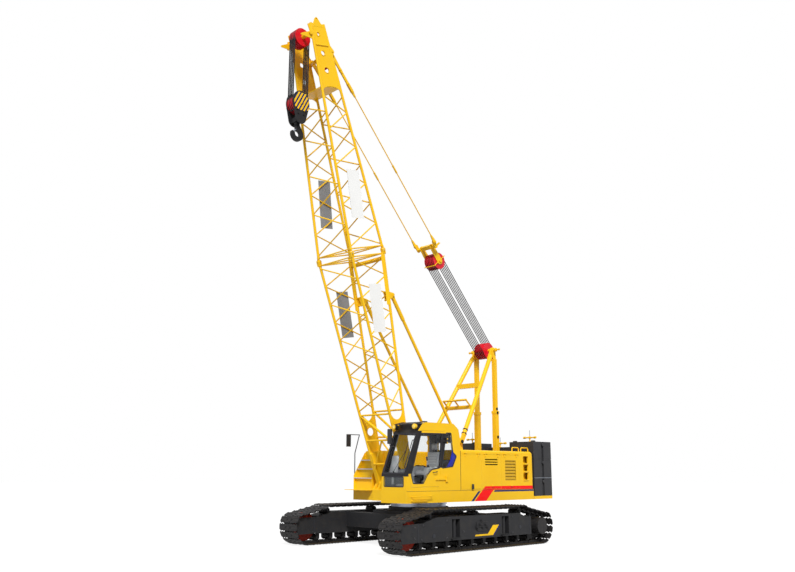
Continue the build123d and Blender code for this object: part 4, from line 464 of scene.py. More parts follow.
def addTurned(shape, start, along, profile, sides=28):
    # round form on an axis, from (distance, radius) pairs; both ends are closed
    start, along = Vector(start), Vector(along).normalized()
    across = along.orthogonal().normalized()
    other = along.cross(across)
    rings = []
    for distance, radius in profile:
        ring = []
        for step in range(sides):
            turn = 2 * math.pi * step / sides
            offset = (across * math.cos(turn) + other * math.sin(turn)) * radius
            ring.append(shape.verts.new(start + along * distance + offset))
        rings.append(ring)
    for low, high in zip(rings, rings[1:]):
        for i in range(sides):
            j = (i + 1) % sides
            shape.faces.new((low[i], low[j], high[j], high[i]))
    shape.faces.new(rings[0])
    shape.faces.new(rings[-1])


def addPin(shape, start, end, radius, chamfer=0.004, sides=28):
    start, end = Vector(start), Vector(end)
    length = (end - start).length
    addTurned(shape, start, end - start, [(0, radius - chamfer), (chamfer, radius), (length - chamfer, radius),
                                          (length, radius - chamfer)], sides)


def addPlate(shape, corners, thickness, bevel=0.003):
    # flat outline made thick along a vector, with its edges broken
    made = bmesh.new()
    face = made.faces.new([made.verts.new(Vector(corner)) for corner in corners])
    grown = bmesh.ops.extrude_face_region(made, geom=[face])
    moved = [item for item in grown["geom"] if isinstance(item, bmesh.types.BMVert)]
    bmesh.ops.translate(made, verts=moved, vec=Vector(thickness))
    bmesh.ops.recalc_face_normals(made, faces=made.faces)
    if bevel:
        bmesh.ops.bevel(made, geom=list(made.edges), offset=bevel, segments=2, profile=0.5, affect="EDGES")
    mesh = bpy.data.meshes.new("plate")
    made.to_mesh(mesh)
    made.free()
    shape.from_mesh(mesh)
    bpy.data.meshes.remove(mesh)


def addBox(shape, low, high, bevel=0.003):
    (x, y, z), (endX, endY, endZ) = low, high
    addPlate(shape, [(x, y, z), (endX, y, z), (endX, endY, z), (x, endY, z)], (0, 0, endZ - z), bevel)


def roundedOutline(points, radius, steps=5):
    # closed outline in two axes with its corners rounded
    outline = []
    count = len(points)
    for i in range(count):
        before, corner, after = (Vector(points[(i + k) % count]) for k in (-1, 0, 1))
        toBefore, toAfter = (before - corner), (after - corner)
        half = toBefore.angle(toAfter) / 2
        reach = min(radius / math.tan(half), toBefore.length * 0.45, toAfter.length * 0.45)
        first, last = corner + toBefore.normalized() * reach, corner + toAfter.normalized() * reach
        for step in range(steps + 1):
            t = step / steps
            outline.append(first * (1 - t) ** 2 + corner * 2 * t * (1 - t) + last * t ** 2)
    return outline


def addSeal(shape, outline, inner, outer, place, thickness):
    # band that follows an outline, from inner to outer width; place turns (u, v) into a point
    count = len(outline)
    area = sum(outline[i][0] * outline[(i + 1) % count][1] - outline[(i + 1) % count][0] * outline[i][1]
               for i in range(count))
    sign = 1 if area > 0 else -1
    rings = [[], [], [], []]
    for i in range(count):
        before, here, after = outline[i - 1], outline[i], outline[(i + 1) % count]
        tangent = ((here - before).normalized() + (after - here).normalized()).normalized()
        outward = Vector((tangent[1], -tangent[0])) * sign
        for ring, (reach, rise) in zip(rings, ((inner, 0), (inner, thickness), (outer, thickness), (outer, 0))):
            point = here + outward * reach
            ring.append(shape.verts.new(place(point[0], point[1], rise)))
    for low, high in zip(rings, rings[1:] + rings[:1]):
        for i in range(count):
            j = (i + 1) % count
            shape.faces.new((low[i], low[j], high[j], high[i]))


def outerFace(node, sign):
    # the y of a node's left or right side
    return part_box(node)[1 if sign > 0 else 0][1]


def nodeBars(node):
    # both ends of each straight bar in a CAD node, lowest end first
    shape = bmesh.new()
    shape.from_mesh(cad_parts[node].data)
    bmesh.ops.remove_doubles(shape, verts=shape.verts, dist=0.0001)
    left, bars = set(shape.verts), []
    while left:
        island, edge = set(), [left.pop()]
        while edge:
            vert = edge.pop()
            island.add(vert)
            for link in vert.link_edges:
                other = link.other_vert(vert)
                if other in left:
                    left.discard(other)
                    edge.append(other)
        points = sorted((vert.co.copy() for vert in island), key=tuple)  # in order, so that every run rounds alike
        anyPoint = points[0]
        far = max(points, key=lambda p: (p - anyPoint).length)
        near = max(points, key=lambda p: (p - far).length)
        along = (far - near).normalized()
        spread = [(p - near).dot(along) for p in points]
        middle = (min(spread) + max(spread)) / 2
        ends = []
        for keep in (lambda s: s < middle, lambda s: s >= middle):
            group = [p for p, s in zip(points, spread) if keep(s)]
            ends.append(sum(group, Vector()) / len(group))
        bars.append(sorted(ends, key=lambda p: p.z))
    shape.free()
    return sorted(bars, key=lambda ends: (round(ends[0].x, 3), round(ends[0].y, 3)))


# geometry node trees

def newTree(name, **sizes):
    # named inputs for the tree's sizes, and one for its material
    tree = bpy.data.node_groups.new(name, "GeometryNodeTree")
    tree.interface.new_socket(name="Geometry", in_out="INPUT", socket_type="NodeSocketGeometry")
    for label, value in sizes.items():
        kind = {float: "NodeSocketFloat", int: "NodeSocketInt"}.get(type(value), "NodeSocketObject")
        socket = tree.interface.new_socket(name=label, in_out="INPUT", socket_type=kind)
        if value is not None:
            socket.default_value = value
    tree.interface.new_socket(name="Material", in_out="INPUT", socket_type="NodeSocketMaterial")
    tree.interface.new_socket(name="Geometry", in_out="OUTPUT", socket_type="NodeSocketGeometry")
    return tree, addNode(tree, "NodeGroupInput").outputs


def closeTree(tree, given, kind, inputs):
    # the node that makes the piece, made real and given its material
    real = addNode(tree, "GeometryNodeRealizeInstances", (addNode(tree, kind, inputs, 0),), 0)
    coated = addNode(tree, "GeometryNodeSetMaterial", {"Geometry": real, "Material": given["Material"]}, 0)
    addNode(tree, "NodeGroupOutput", (coated,))
    return tree


def runTree(name, tree, mesh, values):
    # the tree's result as a plain mesh
    source = bpy.data.objects.new(name + "Source", mesh)
    bpy.context.scene.collection.objects.link(source)
    modifier = source.modifiers.new("nodes", "NODES")
    modifier.node_group = tree
    for socket in tree.interface.items_tree:
        if socket.in_out == "INPUT" and socket.name in values:
            modifier[socket.identifier] = values[socket.name]
    result = appliedMesh(source)
    result.name = name
    source.modifiers.clear()
    bpy.data.objects.remove(source)
    return result


def pathMesh(paths):
    mesh = bpy.data.meshes.new("paths")
    points, edges = [], []
    for path, closed in paths:
        first = len(points)
        points += [tuple(point) for point in path]
        edges += [(first + i, first + i + 1) for i in range(len(path) - 1)]
        if closed:
            edges.append((len(points) - 1, first))
    mesh.from_pydata(points, edges, [])
    return mesh


def makeBarTree():
    # round bar bent along each path, with its corners rounded
    tree, given = newTree("bentBar", Radius=0.01, Bend=0.04, Sides=12)
    curve = addNode(tree, "GeometryNodeMeshToCurve", {"Mesh": given["Geometry"]}, 0)
    bent = addNode(tree, "GeometryNodeFilletCurve", {"Curve": curve, "Radius": given["Bend"], "Count": 6,
                                                     "Limit Radius": True}, 0, mode="POLY")
    ring = addNode(tree, "GeometryNodeCurvePrimitiveCircle", {"Resolution": given["Sides"],
                                                              "Radius": given["Radius"]}, 0)
    return closeTree(tree, given, "GeometryNodeCurveToMesh", {"Curve": bent, "Profile Curve": ring,
                                                              "Fill Caps": True})


def makeRopeTree(strands=6, swell=0.09):
    # strands laid round each path: a lobed section that turns as it goes along, three points to a lobe
    tree, given = newTree("laidRope", Radius=0.012, Lay=0.16, Step=0.04)
    curve = addNode(tree, "GeometryNodeMeshToCurve", {"Mesh": given["Geometry"]}, 0)
    even = addNode(tree, "GeometryNodeResampleCurve", {"Curve": curve, "Length": given["Step"]}, 0,
                   mode="LENGTH")
    along = addNode(tree, "GeometryNodeSplineParameter", output="Length")
    turns = worked(tree, along, ("DIVIDE", given["Lay"]), ("MULTIPLY", 2 * math.pi))
    tilted = addNode(tree, "GeometryNodeSetCurveTilt", {"Curve": even, "Tilt": turns}, 0)
    ring = addNode(tree, "GeometryNodeCurvePrimitiveCircle", {"Resolution": strands * 3,
                                                              "Radius": given["Radius"]}, 0)
    place = addNode(tree, "GeometryNodeInputPosition", output=0)
    grow = worked(tree, addNode(tree, "GeometryNodeInputIndex", output=0), ("MULTIPLY", 2 * math.pi / 3),
                  ("COSINE",), ("MULTIPLY", swell), ("ADD", 1 - swell / 2))
    lobed = addNode(tree, "ShaderNodeVectorMath", {0: place, "Scale": grow}, 0, operation="SCALE")
    section = addNode(tree, "GeometryNodeSetPosition", {"Geometry": ring, "Position": lobed}, 0)
    return closeTree(tree, given, "GeometryNodeCurveToMesh", {"Curve": tilted, "Profile Curve": section,
                                                              "Fill Caps": True})


def makeBoltTree():
    # hexagon head on a washer at each point, turned to the point's own facing
    tree, given = newTree("hexBolts", Across=0.03, Height=0.012)
    half = worked(tree, given["Across"], ("MULTIPLY", 0.577))
    washerRadius = worked(tree, given["Across"], ("MULTIPLY", 0.85))
    washerHeight = worked(tree, given["Height"], ("MULTIPLY", 0.3))
    headMiddle = worked(tree, given["Height"], ("MULTIPLY", 0.5), ("ADD", washerHeight))
    washerMiddle = worked(tree, washerHeight, ("MULTIPLY", 0.5))
    bolt = addNode(tree, "GeometryNodeJoinGeometry")
    for sides, radius, depth, middle in ((6, half, given["Height"], headMiddle),
                                         (20, washerRadius, washerHeight, washerMiddle)):
        disc = addNode(tree, "GeometryNodeMeshCylinder", {"Vertices": sides, "Radius": radius, "Depth": depth},
                       "Mesh")
        lift = addNode(tree, "ShaderNodeCombineXYZ", {"Z": middle}, 0)
        raised = addNode(tree, "GeometryNodeTransform", {"Geometry": disc, "Translation": lift}, 0)
        tree.links.new(raised, bolt.inputs[0])
    facing = addNode(tree, "GeometryNodeInputNamedAttribute", {"Name": "facing"}, 0, data_type="FLOAT_VECTOR")
    turned = addNode(tree, "FunctionNodeAlignEulerToVector", {"Vector": facing}, 0, axis="Z")
    points = addNode(tree, "GeometryNodeMeshToPoints", {"Mesh": given["Geometry"]}, 0)
    return closeTree(tree, given, "GeometryNodeInstanceOnPoints", {"Points": points, "Rotation": turned,
                                                                   "Instance": bolt.outputs[0]})


def makeShoeTree():
    # one shoe at each step of the closed belt path, turned to follow it
    tree, given = newTree("trackShoes", Count=61, Shoe=None)
    curve = addNode(tree, "GeometryNodeMeshToCurve", {"Mesh": given["Geometry"]}, 0)
    points = addNode(tree, "GeometryNodeCurveToPoints", {"Curve": curve, "Count": given["Count"]}).outputs
    shoe = addNode(tree, "GeometryNodeObjectInfo", {"Object": given["Shoe"]}, "Geometry")
    turned = addNode(tree, "FunctionNodeAlignEulerToVector", {"Vector": points["Tangent"]}, 0, axis="X",
                     pivot_axis="Y")
    return closeTree(tree, given, "GeometryNodeInstanceOnPoints", {"Points": points["Points"],
                                                                   "Rotation": turned, "Instance": shoe})


barTree, ropeTree, boltTree, shoeTree = makeBarTree(), makeRopeTree(), makeBoltTree(), makeShoeTree()


def bentBars(name, paths, radius, bend, material, body, sides=12):
    mesh = runTree(name, barTree, pathMesh(paths), {"Radius": radius, "Bend": bend, "Sides": sides,
                                                    "Material": material})
    return finishPiece(name, mesh, material, body, 50)


def bolts(name, places, across, material, body, height=None):
    mesh = bpy.data.meshes.new("boltPlaces")
    mesh.from_pydata([tuple(place) for place, _ in places], [], [])
    facing = mesh.attributes.new("facing", "FLOAT_VECTOR", "POINT")
    facing.data.foreach_set("vector", [c for _, way in places for c in way])
    values = {"Across": across, "Height": height or across * 0.45, "Material": material}
    return finishPiece(name, runTree(name, boltTree, mesh, values), material, body, 25)


# tracks: the belt is laid shoe by shoe

belt = {"shoes": 61, "length": 0.207, "width": 0.80, "plate": 0.020, "rib": 0.010, "tooth": 0.014, "teeth": 7,
        "linkHeight": 0.068, "linkReach": 0.095, "linkThick": 0.045, "linkInner": 0.085, "endRadius": 0.49,
        "carrierX": 1.801, "carrierZ": 0.90, "slotY": (-0.12, -0.075, 0.075, 0.12), "slotHalf": (0.028, 0.011),
        "ribs": ((-0.052, 0.020), (0.046, 0.022)), "pin": 0.022, "pinHalf": 0.135}


def makeShoe():
    # x along the belt, z outwards; the ribs' tops lie at z = 0
    shape = bmesh.new()
    half, reach, tooth = belt["width"] / 2, belt["length"] / 2, belt["tooth"]
    steps = belt["teeth"] * 2
    front, rear = [], []
    for i in range(steps + 1):
        y = -half + 0.03 + (belt["width"] - 0.06) * i / steps
        wave = tooth if i % 2 else -tooth
        front.append((reach - tooth + wave, y))
        rear.append((-reach + tooth + wave, y))
    outline = [(reach - 0.05, -half)] + front + [(reach - 0.05, half), (-reach + 0.045, half)] + rear[::-1]
    outline.append((-reach + 0.045, -half))
    slotX, slotY = belt["slotHalf"]
    slots = [[(-slotX, y - slotY), (slotX, y - slotY), (slotX, y + slotY), (-slotX, y + slotY)]
             for y in belt["slotY"]]
    edges = []
    for loop in [outline] + slots:
        verts = [shape.verts.new((x, y, -belt["rib"])) for x, y in loop]
        edges += [shape.edges.new((verts[i], verts[(i + 1) % len(verts)])) for i in range(len(verts))]
    top = bmesh.ops.triangle_fill(shape, use_beauty=True, use_dissolve=False, edges=edges)
    faces = [item for item in top["geom"] if isinstance(item, bmesh.types.BMFace)]
    grown = bmesh.ops.extrude_face_region(shape, geom=faces)
    moved = [item for item in grown["geom"] if isinstance(item, bmesh.types.BMVert)]
    bmesh.ops.translate(shape, verts=moved, vec=(0, 0, -belt["plate"]))
    for x, width in belt["ribs"]:
        for low, high in ((-half + 0.05, -0.16), (-0.045, 0.045), (0.16, half - 0.05)):
            ends = [(x - width / 2, low, -belt["rib"]), (x + width / 2, low, -belt["rib"]),
                    (x + width / 4, low + 0.01, 0), (x - width / 4, low + 0.01, 0)]
            addPlate(shape, ends, (0, high - low, 0), 0)
    foot, linkX, linkZ = -belt["rib"] - belt["plate"], belt["linkReach"], belt["linkHeight"]
    for side in (-1, 1):
        y = side * belt["linkInner"]
        outline = [(-linkX, y, foot), (linkX, y, foot), (linkX + 0.004, y, foot - linkZ * 0.7),
                   (linkX - 0.03, y, foot - linkZ), (-linkX + 0.03, y, foot - linkZ),
                   (-linkX - 0.004, y, foot - linkZ * 0.7)]
        addPlate(shape, outline, (0, side * belt["linkThick"], 0), 0)
    pinX, pinY, pinZ = -linkX - 0.006, belt["pinHalf"], foot - 0.035
    addPin(shape, (pinX, -pinY, pinZ), (pinX, pinY, pinZ), belt["pin"], 0.004, 10)
    return meshFrom("shoe", shape, merge=0)


def beltPath(low, high):
    # middle of the belt's outer face, clockwise seen from the left so that shoes point outwards
    endRadius, carrierX, carrierZ = belt["endRadius"], belt["carrierX"], belt["carrierZ"]
    endX = (high[0] - low[0]) / 2 - endRadius
    circles = [(-endX, endRadius, endRadius), (-carrierX, carrierZ, high[2] - carrierZ),
               (carrierX, carrierZ, high[2] - carrierZ), (endX, endRadius, endRadius)]
    path, spans = [], []
    for (x1, z1, r1), (x2, z2, r2) in zip(circles, circles[1:] + circles[:1]):
        distance = math.hypot(x2 - x1, z2 - z1)
        heading = math.atan2(z2 - z1, x2 - x1)
        spans.append(heading + math.pi / 2 - math.asin((r2 - r1) / distance))
    for i, (x, z, radius) in enumerate(circles):
        start, end = spans[i - 1], spans[i]
        while end > start:
            end -= 2 * math.pi
        while start - end > 2 * math.pi:
            end += 2 * math.pi
        steps = max(2, int((start - end) * radius / 0.03))
        for step in range(steps + 1):
            turn = start + (end - start) * step / steps
            path.append((x + radius * math.cos(turn), z + radius * math.sin(turn)))
    return path


shoeObject = bpy.data.objects.new("shoeShape", makeShoe())
bpy.context.scene.collection.objects.link(shoeObject)
for side in ("left", "right"):
    low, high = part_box("track_" + side)
    middle = (low[1] + high[1]) / 2
    path = [(x, middle, z) for x, z in beltPath(low, high)]
    mesh = runTree("trackShoes_" + side, shoeTree, pathMesh([(path, True)]),
                   {"Count": belt["shoes"], "Shoe": shoeObject, "Material": trackSteel})
    shoes = finishPiece("trackShoes_" + side, mesh, trackSteel, "undercarriage", 30)
    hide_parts("track_" + side)
bpy.data.objects.remove(shoeObject)
print("track shoes")


# undercarriage: a ring of bolts round each drive's cover

driveCover = {"bolts": 16, "across": 0.03, "radius": 0.195}
for side, sign in (("left", 1), ("right", -1)):
    outer = outerFace("side_frame_" + side, sign)
    low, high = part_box("sprocket_" + side)
    x, z, radius, places = (low[0] + high[0]) / 2, (low[2] + high[2]) / 2, driveCover["radius"], []
    for i in range(driveCover["bolts"]):
        turn = 2 * math.pi * i / driveCover["bolts"]
        places.append(((x + radius * math.cos(turn), outer, z + radius * math.sin(turn)), (0, sign, 0)))
    bolts("driveCoverBolts_" + side, places, driveCover["across"], charcoalPaint, "undercarriage")
print("undercarriage bolts")


# wire ropes

ropes = {"hoist": 0.019, "luff": 0.0135, "lay": 0.24, "step": 0.02}


def ropeMesh(name, paths, radius):
    return runTree(name, ropeTree, pathMesh(paths), {"Radius": radius, "Lay": ropes["lay"],
                                                     "Step": ropes["step"], "Material": ropeSteel})


hoistFalls = nodeBars("hoist_ropes")
mesh = ropeMesh("hoistFalls", [((low, high), False) for low, high in hoistFalls], ropes["hoist"])
hoistRope = finishPiece("hoistFalls", mesh, ropeSteel, None, 50)
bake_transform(hoistRope)
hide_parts("hoist_ropes")

luffFalls = nodeBars("luffing_ropes")
mesh = ropeMesh("luffingFalls", [((low, high), False) for low, high in luffFalls], ropes["luff"])
luffRope = finishPiece("luffingFalls", mesh, ropeSteel, None, 50)
luffLow = sum((low for low, high in luffFalls), Vector()) / len(luffFalls)
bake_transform(luffRope)
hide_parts("luffing_ropes")


def sheaveWraps(name, node, grooves, thickness, radius, first, last, body):
    # rope lying in each groove, from one angle to another in the x-z plane
    low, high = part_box(node)
    x, z = (low[0] + high[0]) / 2, (low[2] + high[2]) / 2
    paths = []
    for y in grooves:
        path = []
        for step in range(25):
            turn = math.radians(first + (last - first) * step / 24)
            path.append((x + radius * math.cos(turn), y, z + radius * math.sin(turn)))
        paths.append((path, False))
    finishPiece(name, ropeMesh(name, paths, thickness), ropeSteel, body, 50)


hoistGrooves = sorted({round(low.y, 4) for low, high in hoistFalls})
hoistReach = (max(low.x for low, high in hoistFalls) - min(low.x for low, high in hoistFalls)) / 2
sheaveWraps("headSheaveWraps", "head_sheaves", hoistGrooves, ropes["hoist"], hoistReach, 0, 180, "boom")
sheaveWraps("blockSheaveWraps", "block_sheaves", hoistGrooves, ropes["hoist"], hoistReach, 180, 360,
            "hook_block")
luffGrooves = sorted({round(low.y, 4) for low, high in luffFalls})
luffWay = (luffFalls[0][1] - luffFalls[0][0]).normalized()
luffLean = math.degrees(math.atan2(luffWay.z, luffWay.x))
luffReach = max(abs((low - luffLow).dot(Vector((-luffWay.z, 0, luffWay.x)))) for low, high in luffFalls)
sheaveWraps("gantrySheaveWraps", "gantry_sheaves", luffGrooves, ropes["luff"], luffReach, luffLean + 90,
            luffLean + 270, "upperworks")
sheaveWraps("bridleSheaveWraps", "bridle_sheaves", luffGrooves, ropes["luff"], luffReach, luffLean - 90,
            luffLean + 90, "bridle")

drums = {"places": ((0.33, 1.87, 0.21), (-0.48, 1.87, 0.21), (-2.0, 1.85, 0.19)), "half": 0.30, "pitch": 0.0245,
         "rope": 0.012, "sink": 0.0005}
paths = []
for x, z, radius in drums["places"]:
    reach, path = radius + drums["rope"] - drums["sink"], []
    for step in range(int(2 * drums["half"] / drums["pitch"]) * 24 + 1):
        turn = 2 * math.pi * step / 24
        path.append((x + reach * math.cos(turn), drums["pitch"] * step / 24 - drums["half"],
                     z + reach * math.sin(turn)))
    paths.append((path, False))
mesh = runTree("drumWindings", barTree, pathMesh(paths), {"Radius": drums["rope"], "Bend": 0.0, "Sides": 8,
                                                          "Material": ropeSteel})
finishPiece("drumWindings", mesh, ropeSteel, "upperworks", 60)
print("wire ropes")


# cab: seals, bars, wiper, blue corner panel and handle

cab = {"side": 1.62, "innerSide": 0.706, "front": 2.09, "screenFoot": 1.925, "screenTop": (1.64, 3.03),
       "screenY": (0.765, 1.56), "seal": 0.016, "proud": 0.004, "under": -0.010, "corner": 0.03}
doorWindow = [(0.735, 2.985), (0.83, 2.09), (1.14, 2.04), (1.29, 1.92), (1.46, 1.69), (1.83, 1.69),
              (1.90, 1.905), (1.53, 2.97)]
quarterWindow = [(0.56, 3.01), (0.37, 3.01), (0.33, 2.64), (0.30, 2.50), (0.165, 2.40), (0.32, 2.125),
                 (0.74, 2.08)]
rightWindow = [(1.48, 2.97), (0.30, 2.97), (0.30, 2.12), (1.80, 2.02), (1.86, 2.02)]


def onSide(y, sign):
    return lambda u, v, rise: (u, y + sign * rise, v)


outside, inner = onSide(cab["side"] - 0.001, 1), onSide(cab["innerSide"], -1)
for name, window, place, body in (("doorWindowSeal", doorWindow, outside, "cab_door"),
                                  ("quarterWindowSeal", quarterWindow, outside, "upperworks"),
                                  ("rightWindowSeal", rightWindow, inner, "upperworks")):
    shape = bmesh.new()
    addSeal(shape, roundedOutline(window, cab["corner"]), cab["under"], cab["seal"], place, cab["proud"])
    finishShape(name, shape, rubberSeal, body)

screenRun = Vector((cab["screenTop"][0] - cab["front"], 0, cab["screenTop"][1] - cab["screenFoot"]))
screenLean, screenLength = screenRun.normalized(), screenRun.length
screenOut = Vector((screenLean.z, 0, -screenLean.x))


def onScreen(u, v, rise):
    # u across the cab, v up the screen from its foot
    return Vector((cab["front"], u, cab["screenFoot"])) + screenLean * v + screenOut * rise


shape = bmesh.new()
left, right = cab["screenY"]
for inset, foot, top, corner, under, seal, place in (
        (0.0, 0.03, screenLength - 0.075, 0.04, -0.012, 0.02, onScreen),
        (0.04, 1.61, 1.85, cab["corner"], cab["under"], cab["seal"],
         lambda u, v, rise: (cab["front"] - 0.001 + rise, u, v)),
        (0.04, 2.30, 2.78, cab["corner"], cab["under"], cab["seal"], lambda u, v, rise: (0.006 - rise, u, v))):
    corners = [(left + inset, foot), (right - inset, foot), (right - inset, top), (left + inset, top)]
    addSeal(shape, roundedOutline(corners, corner), under, seal, place, cab["proud"])
finishShape("screenSeals", shape, rubberSeal, "upperworks")

shape = bmesh.new()
cornerPanel = {"corners": ((0.318, 2.57), (0.175, 2.40), (0.322, 2.137), (0.55, 2.112), (0.40, 2.30)),
               "sunk": 0.012, "thick": 0.009}
addPlate(shape, [(x, cab["side"] - cornerPanel["sunk"], z) for x, z in cornerPanel["corners"]],
         (0, cornerPanel["thick"], 0), 0.002)
finishShape("cornerPanel", shape, bluePaint, "upperworks")

wiper = {"pivot": (1.16, 0.05), "tip": (1.38, 0.62), "bladeHalf": 0.26, "bladeWidth": 0.014}
shape = bmesh.new()
pivot, tip = onScreen(*wiper["pivot"], 0.03), onScreen(*wiper["tip"], 0.022)
addPin(shape, onScreen(*wiper["pivot"], 0.0), onScreen(*wiper["pivot"], 0.045), 0.016, 0.003, 16)
addPin(shape, pivot, tip, 0.006, 0.002, 10)
blade = screenLean * wiper["bladeHalf"]
middle = onScreen(*wiper["tip"], 0.013)
across = Vector((0, wiper["bladeWidth"], 0))
addPlate(shape, [middle - blade, middle + blade, middle + blade + across, middle - blade + across],
         screenOut * 0.012, 0.002)
finishShape("screenWiper", shape, mirrorBlack, "upperworks")

grabs = {"handle": ((0.955, 1.985), (1.095, 1.965)), "handleOut": 0.05, "railY": 1.60,
         "rail": ((2.07, 2.06), (2.14, 2.06), (1.83, 2.80), (1.76, 2.78))}
(x, z), (endX, endZ) = grabs["handle"]
out = cab["side"] + grabs["handleOut"]
handle = [(x, cab["side"], z), (x, out, z), (endX, out, endZ), (endX, cab["side"], endZ)]
bentBars("doorHandle", [(handle, False)], 0.009, 0.02, mirrorBlack, "cab_door")
rail = [(x, grabs["railY"], z) for x, z in grabs["rail"]]
bentBars("screenGrab", [(rail, False)], 0.012, 0.04, mirrorBlack, "upperworks")
print("cab outside")


# cab inside: padded seat, levers and armrests

seat = {"voxel": 0.0084, "pressure": 4.0, "cap": 0.016, "edge": 0.022}


def padMesh(corners, thickness, name):
    shape = bmesh.new()
    addPlate(shape, corners, thickness, seat["edge"])
    return meshFrom(name, shape, merge=0)


def swell(name, mesh, voxel, pressure, cap):
    # remesh, blow up as cloth, hold every point within the cap, then smooth once
    piece = bpy.data.objects.new(name, mesh)
    bpy.context.scene.collection.objects.link(piece)
    remesh = piece.modifiers.new("remesh", "REMESH")
    remesh.mode, remesh.voxel_size = "VOXEL", voxel
    fine = appliedMesh(piece)
    piece.modifiers.clear()
    piece.data = fine
    cloth = piece.modifiers.new("cloth", "CLOTH")
    cloth.settings.use_pressure = True
    cloth.settings.uniform_pressure_force = pressure
    cloth.settings.effector_weights.gravity = 0
    for step in range(1, 21):
        bpy.context.scene.frame_set(step)
    blown = piece.evaluated_get(bpy.context.evaluated_depsgraph_get()).data
    moved = [vert.co.copy() for vert in blown.vertices]
    piece.modifiers.clear()
    bpy.context.scene.frame_set(1)
    for vert, target in zip(piece.data.vertices, moved):
        step = target - vert.co
        vert.co += step * min(1.0, cap / step.length) if step.length > 0 else step
    smooth = piece.modifiers.new("smooth", "SUBSURF")
    smooth.levels = smooth.render_levels = 1
    final = appliedMesh(piece)
    piece.modifiers.clear()
    bpy.data.objects.remove(piece)
    return final


low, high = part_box("operator_seat")
seatMiddle = (low[1] + high[1]) / 2
seatHalf = (high[1] - low[1]) / 2
pads = {  # corners as (x, side, z), half width, height if it lies flat, fill
    "seatCushion": (((0.585, -1, 1.905), (1.10, -1, 1.905), (1.10, 1, 1.905), (0.585, 1, 1.905)),
                    seatHalf - 0.02, 0.10, 0.6),
    "seatBack": (((0.60, -1, 2.04), (0.68, -1, 2.04), (0.60, -1, 2.53), (0.52, -1, 2.53)),
                 seatHalf - 0.025, 0, 0.6),
    "seatHead": (((0.515, -1, 2.575), (0.58, -1, 2.575), (0.57, -1, 2.74), (0.515, -1, 2.74)),
                 seatHalf / 2 - 0.02, 0, 0.7),
}
for name, (corners, half, height, fill) in pads.items():
    corners = [(x, seatMiddle + side * half, z) for x, side, z in corners]
    mesh = padMesh(corners, (0, 0, height) if height else (0, 2 * half, 0), name)
    mesh = swell(name, mesh, seat["voxel"], seat["pressure"], seat["cap"])
    pad = finishPiece(name, mesh, seatFabric, "upperworks", 80)

seatFrame = {"foot": (0.63, 0.97, 1.536, 1.66), "footHalf": 0.15, "bellowX": 0.80, "bellow": (0.145, 0.13),
             "fold": 0.03, "folds": 6, "pan": (0.57, 1.105, 1.84, 1.892), "back": ((0.565, 1.87), (0.60, 1.87),
                                                                                   (0.53, 2.52), (0.50, 2.52)),
             "backHalf": 0.17, "rodX": 0.54, "rodY": 0.05, "rod": (2.50, 2.60)}
shape = bmesh.new()
rear, front, foot, top = seatFrame["foot"]
half = seatFrame["footHalf"]
addBox(shape, (rear, seatMiddle - half, foot), (front, seatMiddle + half, top), 0.012)
for step in range(seatFrame["folds"]):
    half, x, z = seatFrame["bellow"][step % 2], seatFrame["bellowX"], top + step * seatFrame["fold"]
    addBox(shape, (x - half, seatMiddle - half, z), (x + half, seatMiddle + half, z + seatFrame["fold"]), 0.008)
rear, front, foot, top = seatFrame["pan"]
half = seatHalf - 0.012
addBox(shape, (rear, seatMiddle - half, foot), (front, seatMiddle + half, top), 0.012)
half = seatFrame["backHalf"]
addPlate(shape, [(x, seatMiddle - half, z) for x, z in seatFrame["back"]], (0, 2 * half, 0), 0.008)
for side in (-1, 1):
    x, y, (foot, top) = seatFrame["rodX"], seatMiddle + side * seatFrame["rodY"], seatFrame["rod"]
    addPin(shape, (x, y, foot), (x, y, top), 0.007, 0.002, 12)
seatBase = finishShape("seatBase", shape, cabPlastic, "upperworks")
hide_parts("operator_seat")
print("seat")


# levers with their boots, armrests and the gauge panel

levers = {"offset": 0.3265, "foot": (1.14, 2.095), "lean": (0.05, 0, 0.24), "grip": 0.72,
          "boot": [(0, 0.042), (0.012, 0.044), (0.02, 0.034), (0.03, 0.037), (0.038, 0.028), (0.048, 0.031),
                   (0.056, 0.021), (0.066, 0.023), (0.074, 0.015), (0.08, 0.014)],
          "knob": [(0, 0.017), (0.01, 0.021), (0.05, 0.020), (0.085, 0.026), (0.10, 0.022), (0.108, 0.012)],
          "rest": (0.68, 1.02, 2.096), "restHalf": 0.05, "restThick": 0.035}
shape, rests = bmesh.new(), bmesh.new()
for side in (-1, 1):
    y = seatMiddle + side * levers["offset"]
    foot, lean = Vector((levers["foot"][0], y, levers["foot"][1])), Vector(levers["lean"])
    addTurned(shape, foot, lean, levers["boot"], 20)
    addTurned(shape, foot + lean * levers["grip"], lean, levers["knob"], 20)
    (rear, front, z), half = levers["rest"], levers["restHalf"]
    addBox(rests, (rear, y - half, z), (front, y + half, z + levers["restThick"]), 0.012)
finishShape("leverBoots", shape, cabPlastic, "upperworks")
finishShape("armrests", rests, lightPlastic, "upperworks")
gauges = {"y": (0.72, 0.96), "panel": ((1.74, 1.90), (1.86, 1.90), (1.74, 2.40), (1.68, 2.40)),
          "post": ((1.80, 1.95), (1.82, 1.66)), "dials": (2.08, 2.18, 2.28), "dialX": (1.72, 1.675),
          "dialY": 0.80}
shape = bmesh.new()
low, high = gauges["y"]
addPlate(shape, [(x, low, z) for x, z in gauges["panel"]], (0, high - low, 0), 0.02)
(x, z), (footX, footZ) = gauges["post"]
addPin(shape, (x, (low + high) / 2, z), (footX, (low + high) / 2, footZ), 0.03, 0.003, 14)
rear, face = gauges["dialX"]
for z in gauges["dials"]:
    addPin(shape, (rear, gauges["dialY"], z), (face, gauges["dialY"], z - 0.01), 0.03, 0.004, 20)
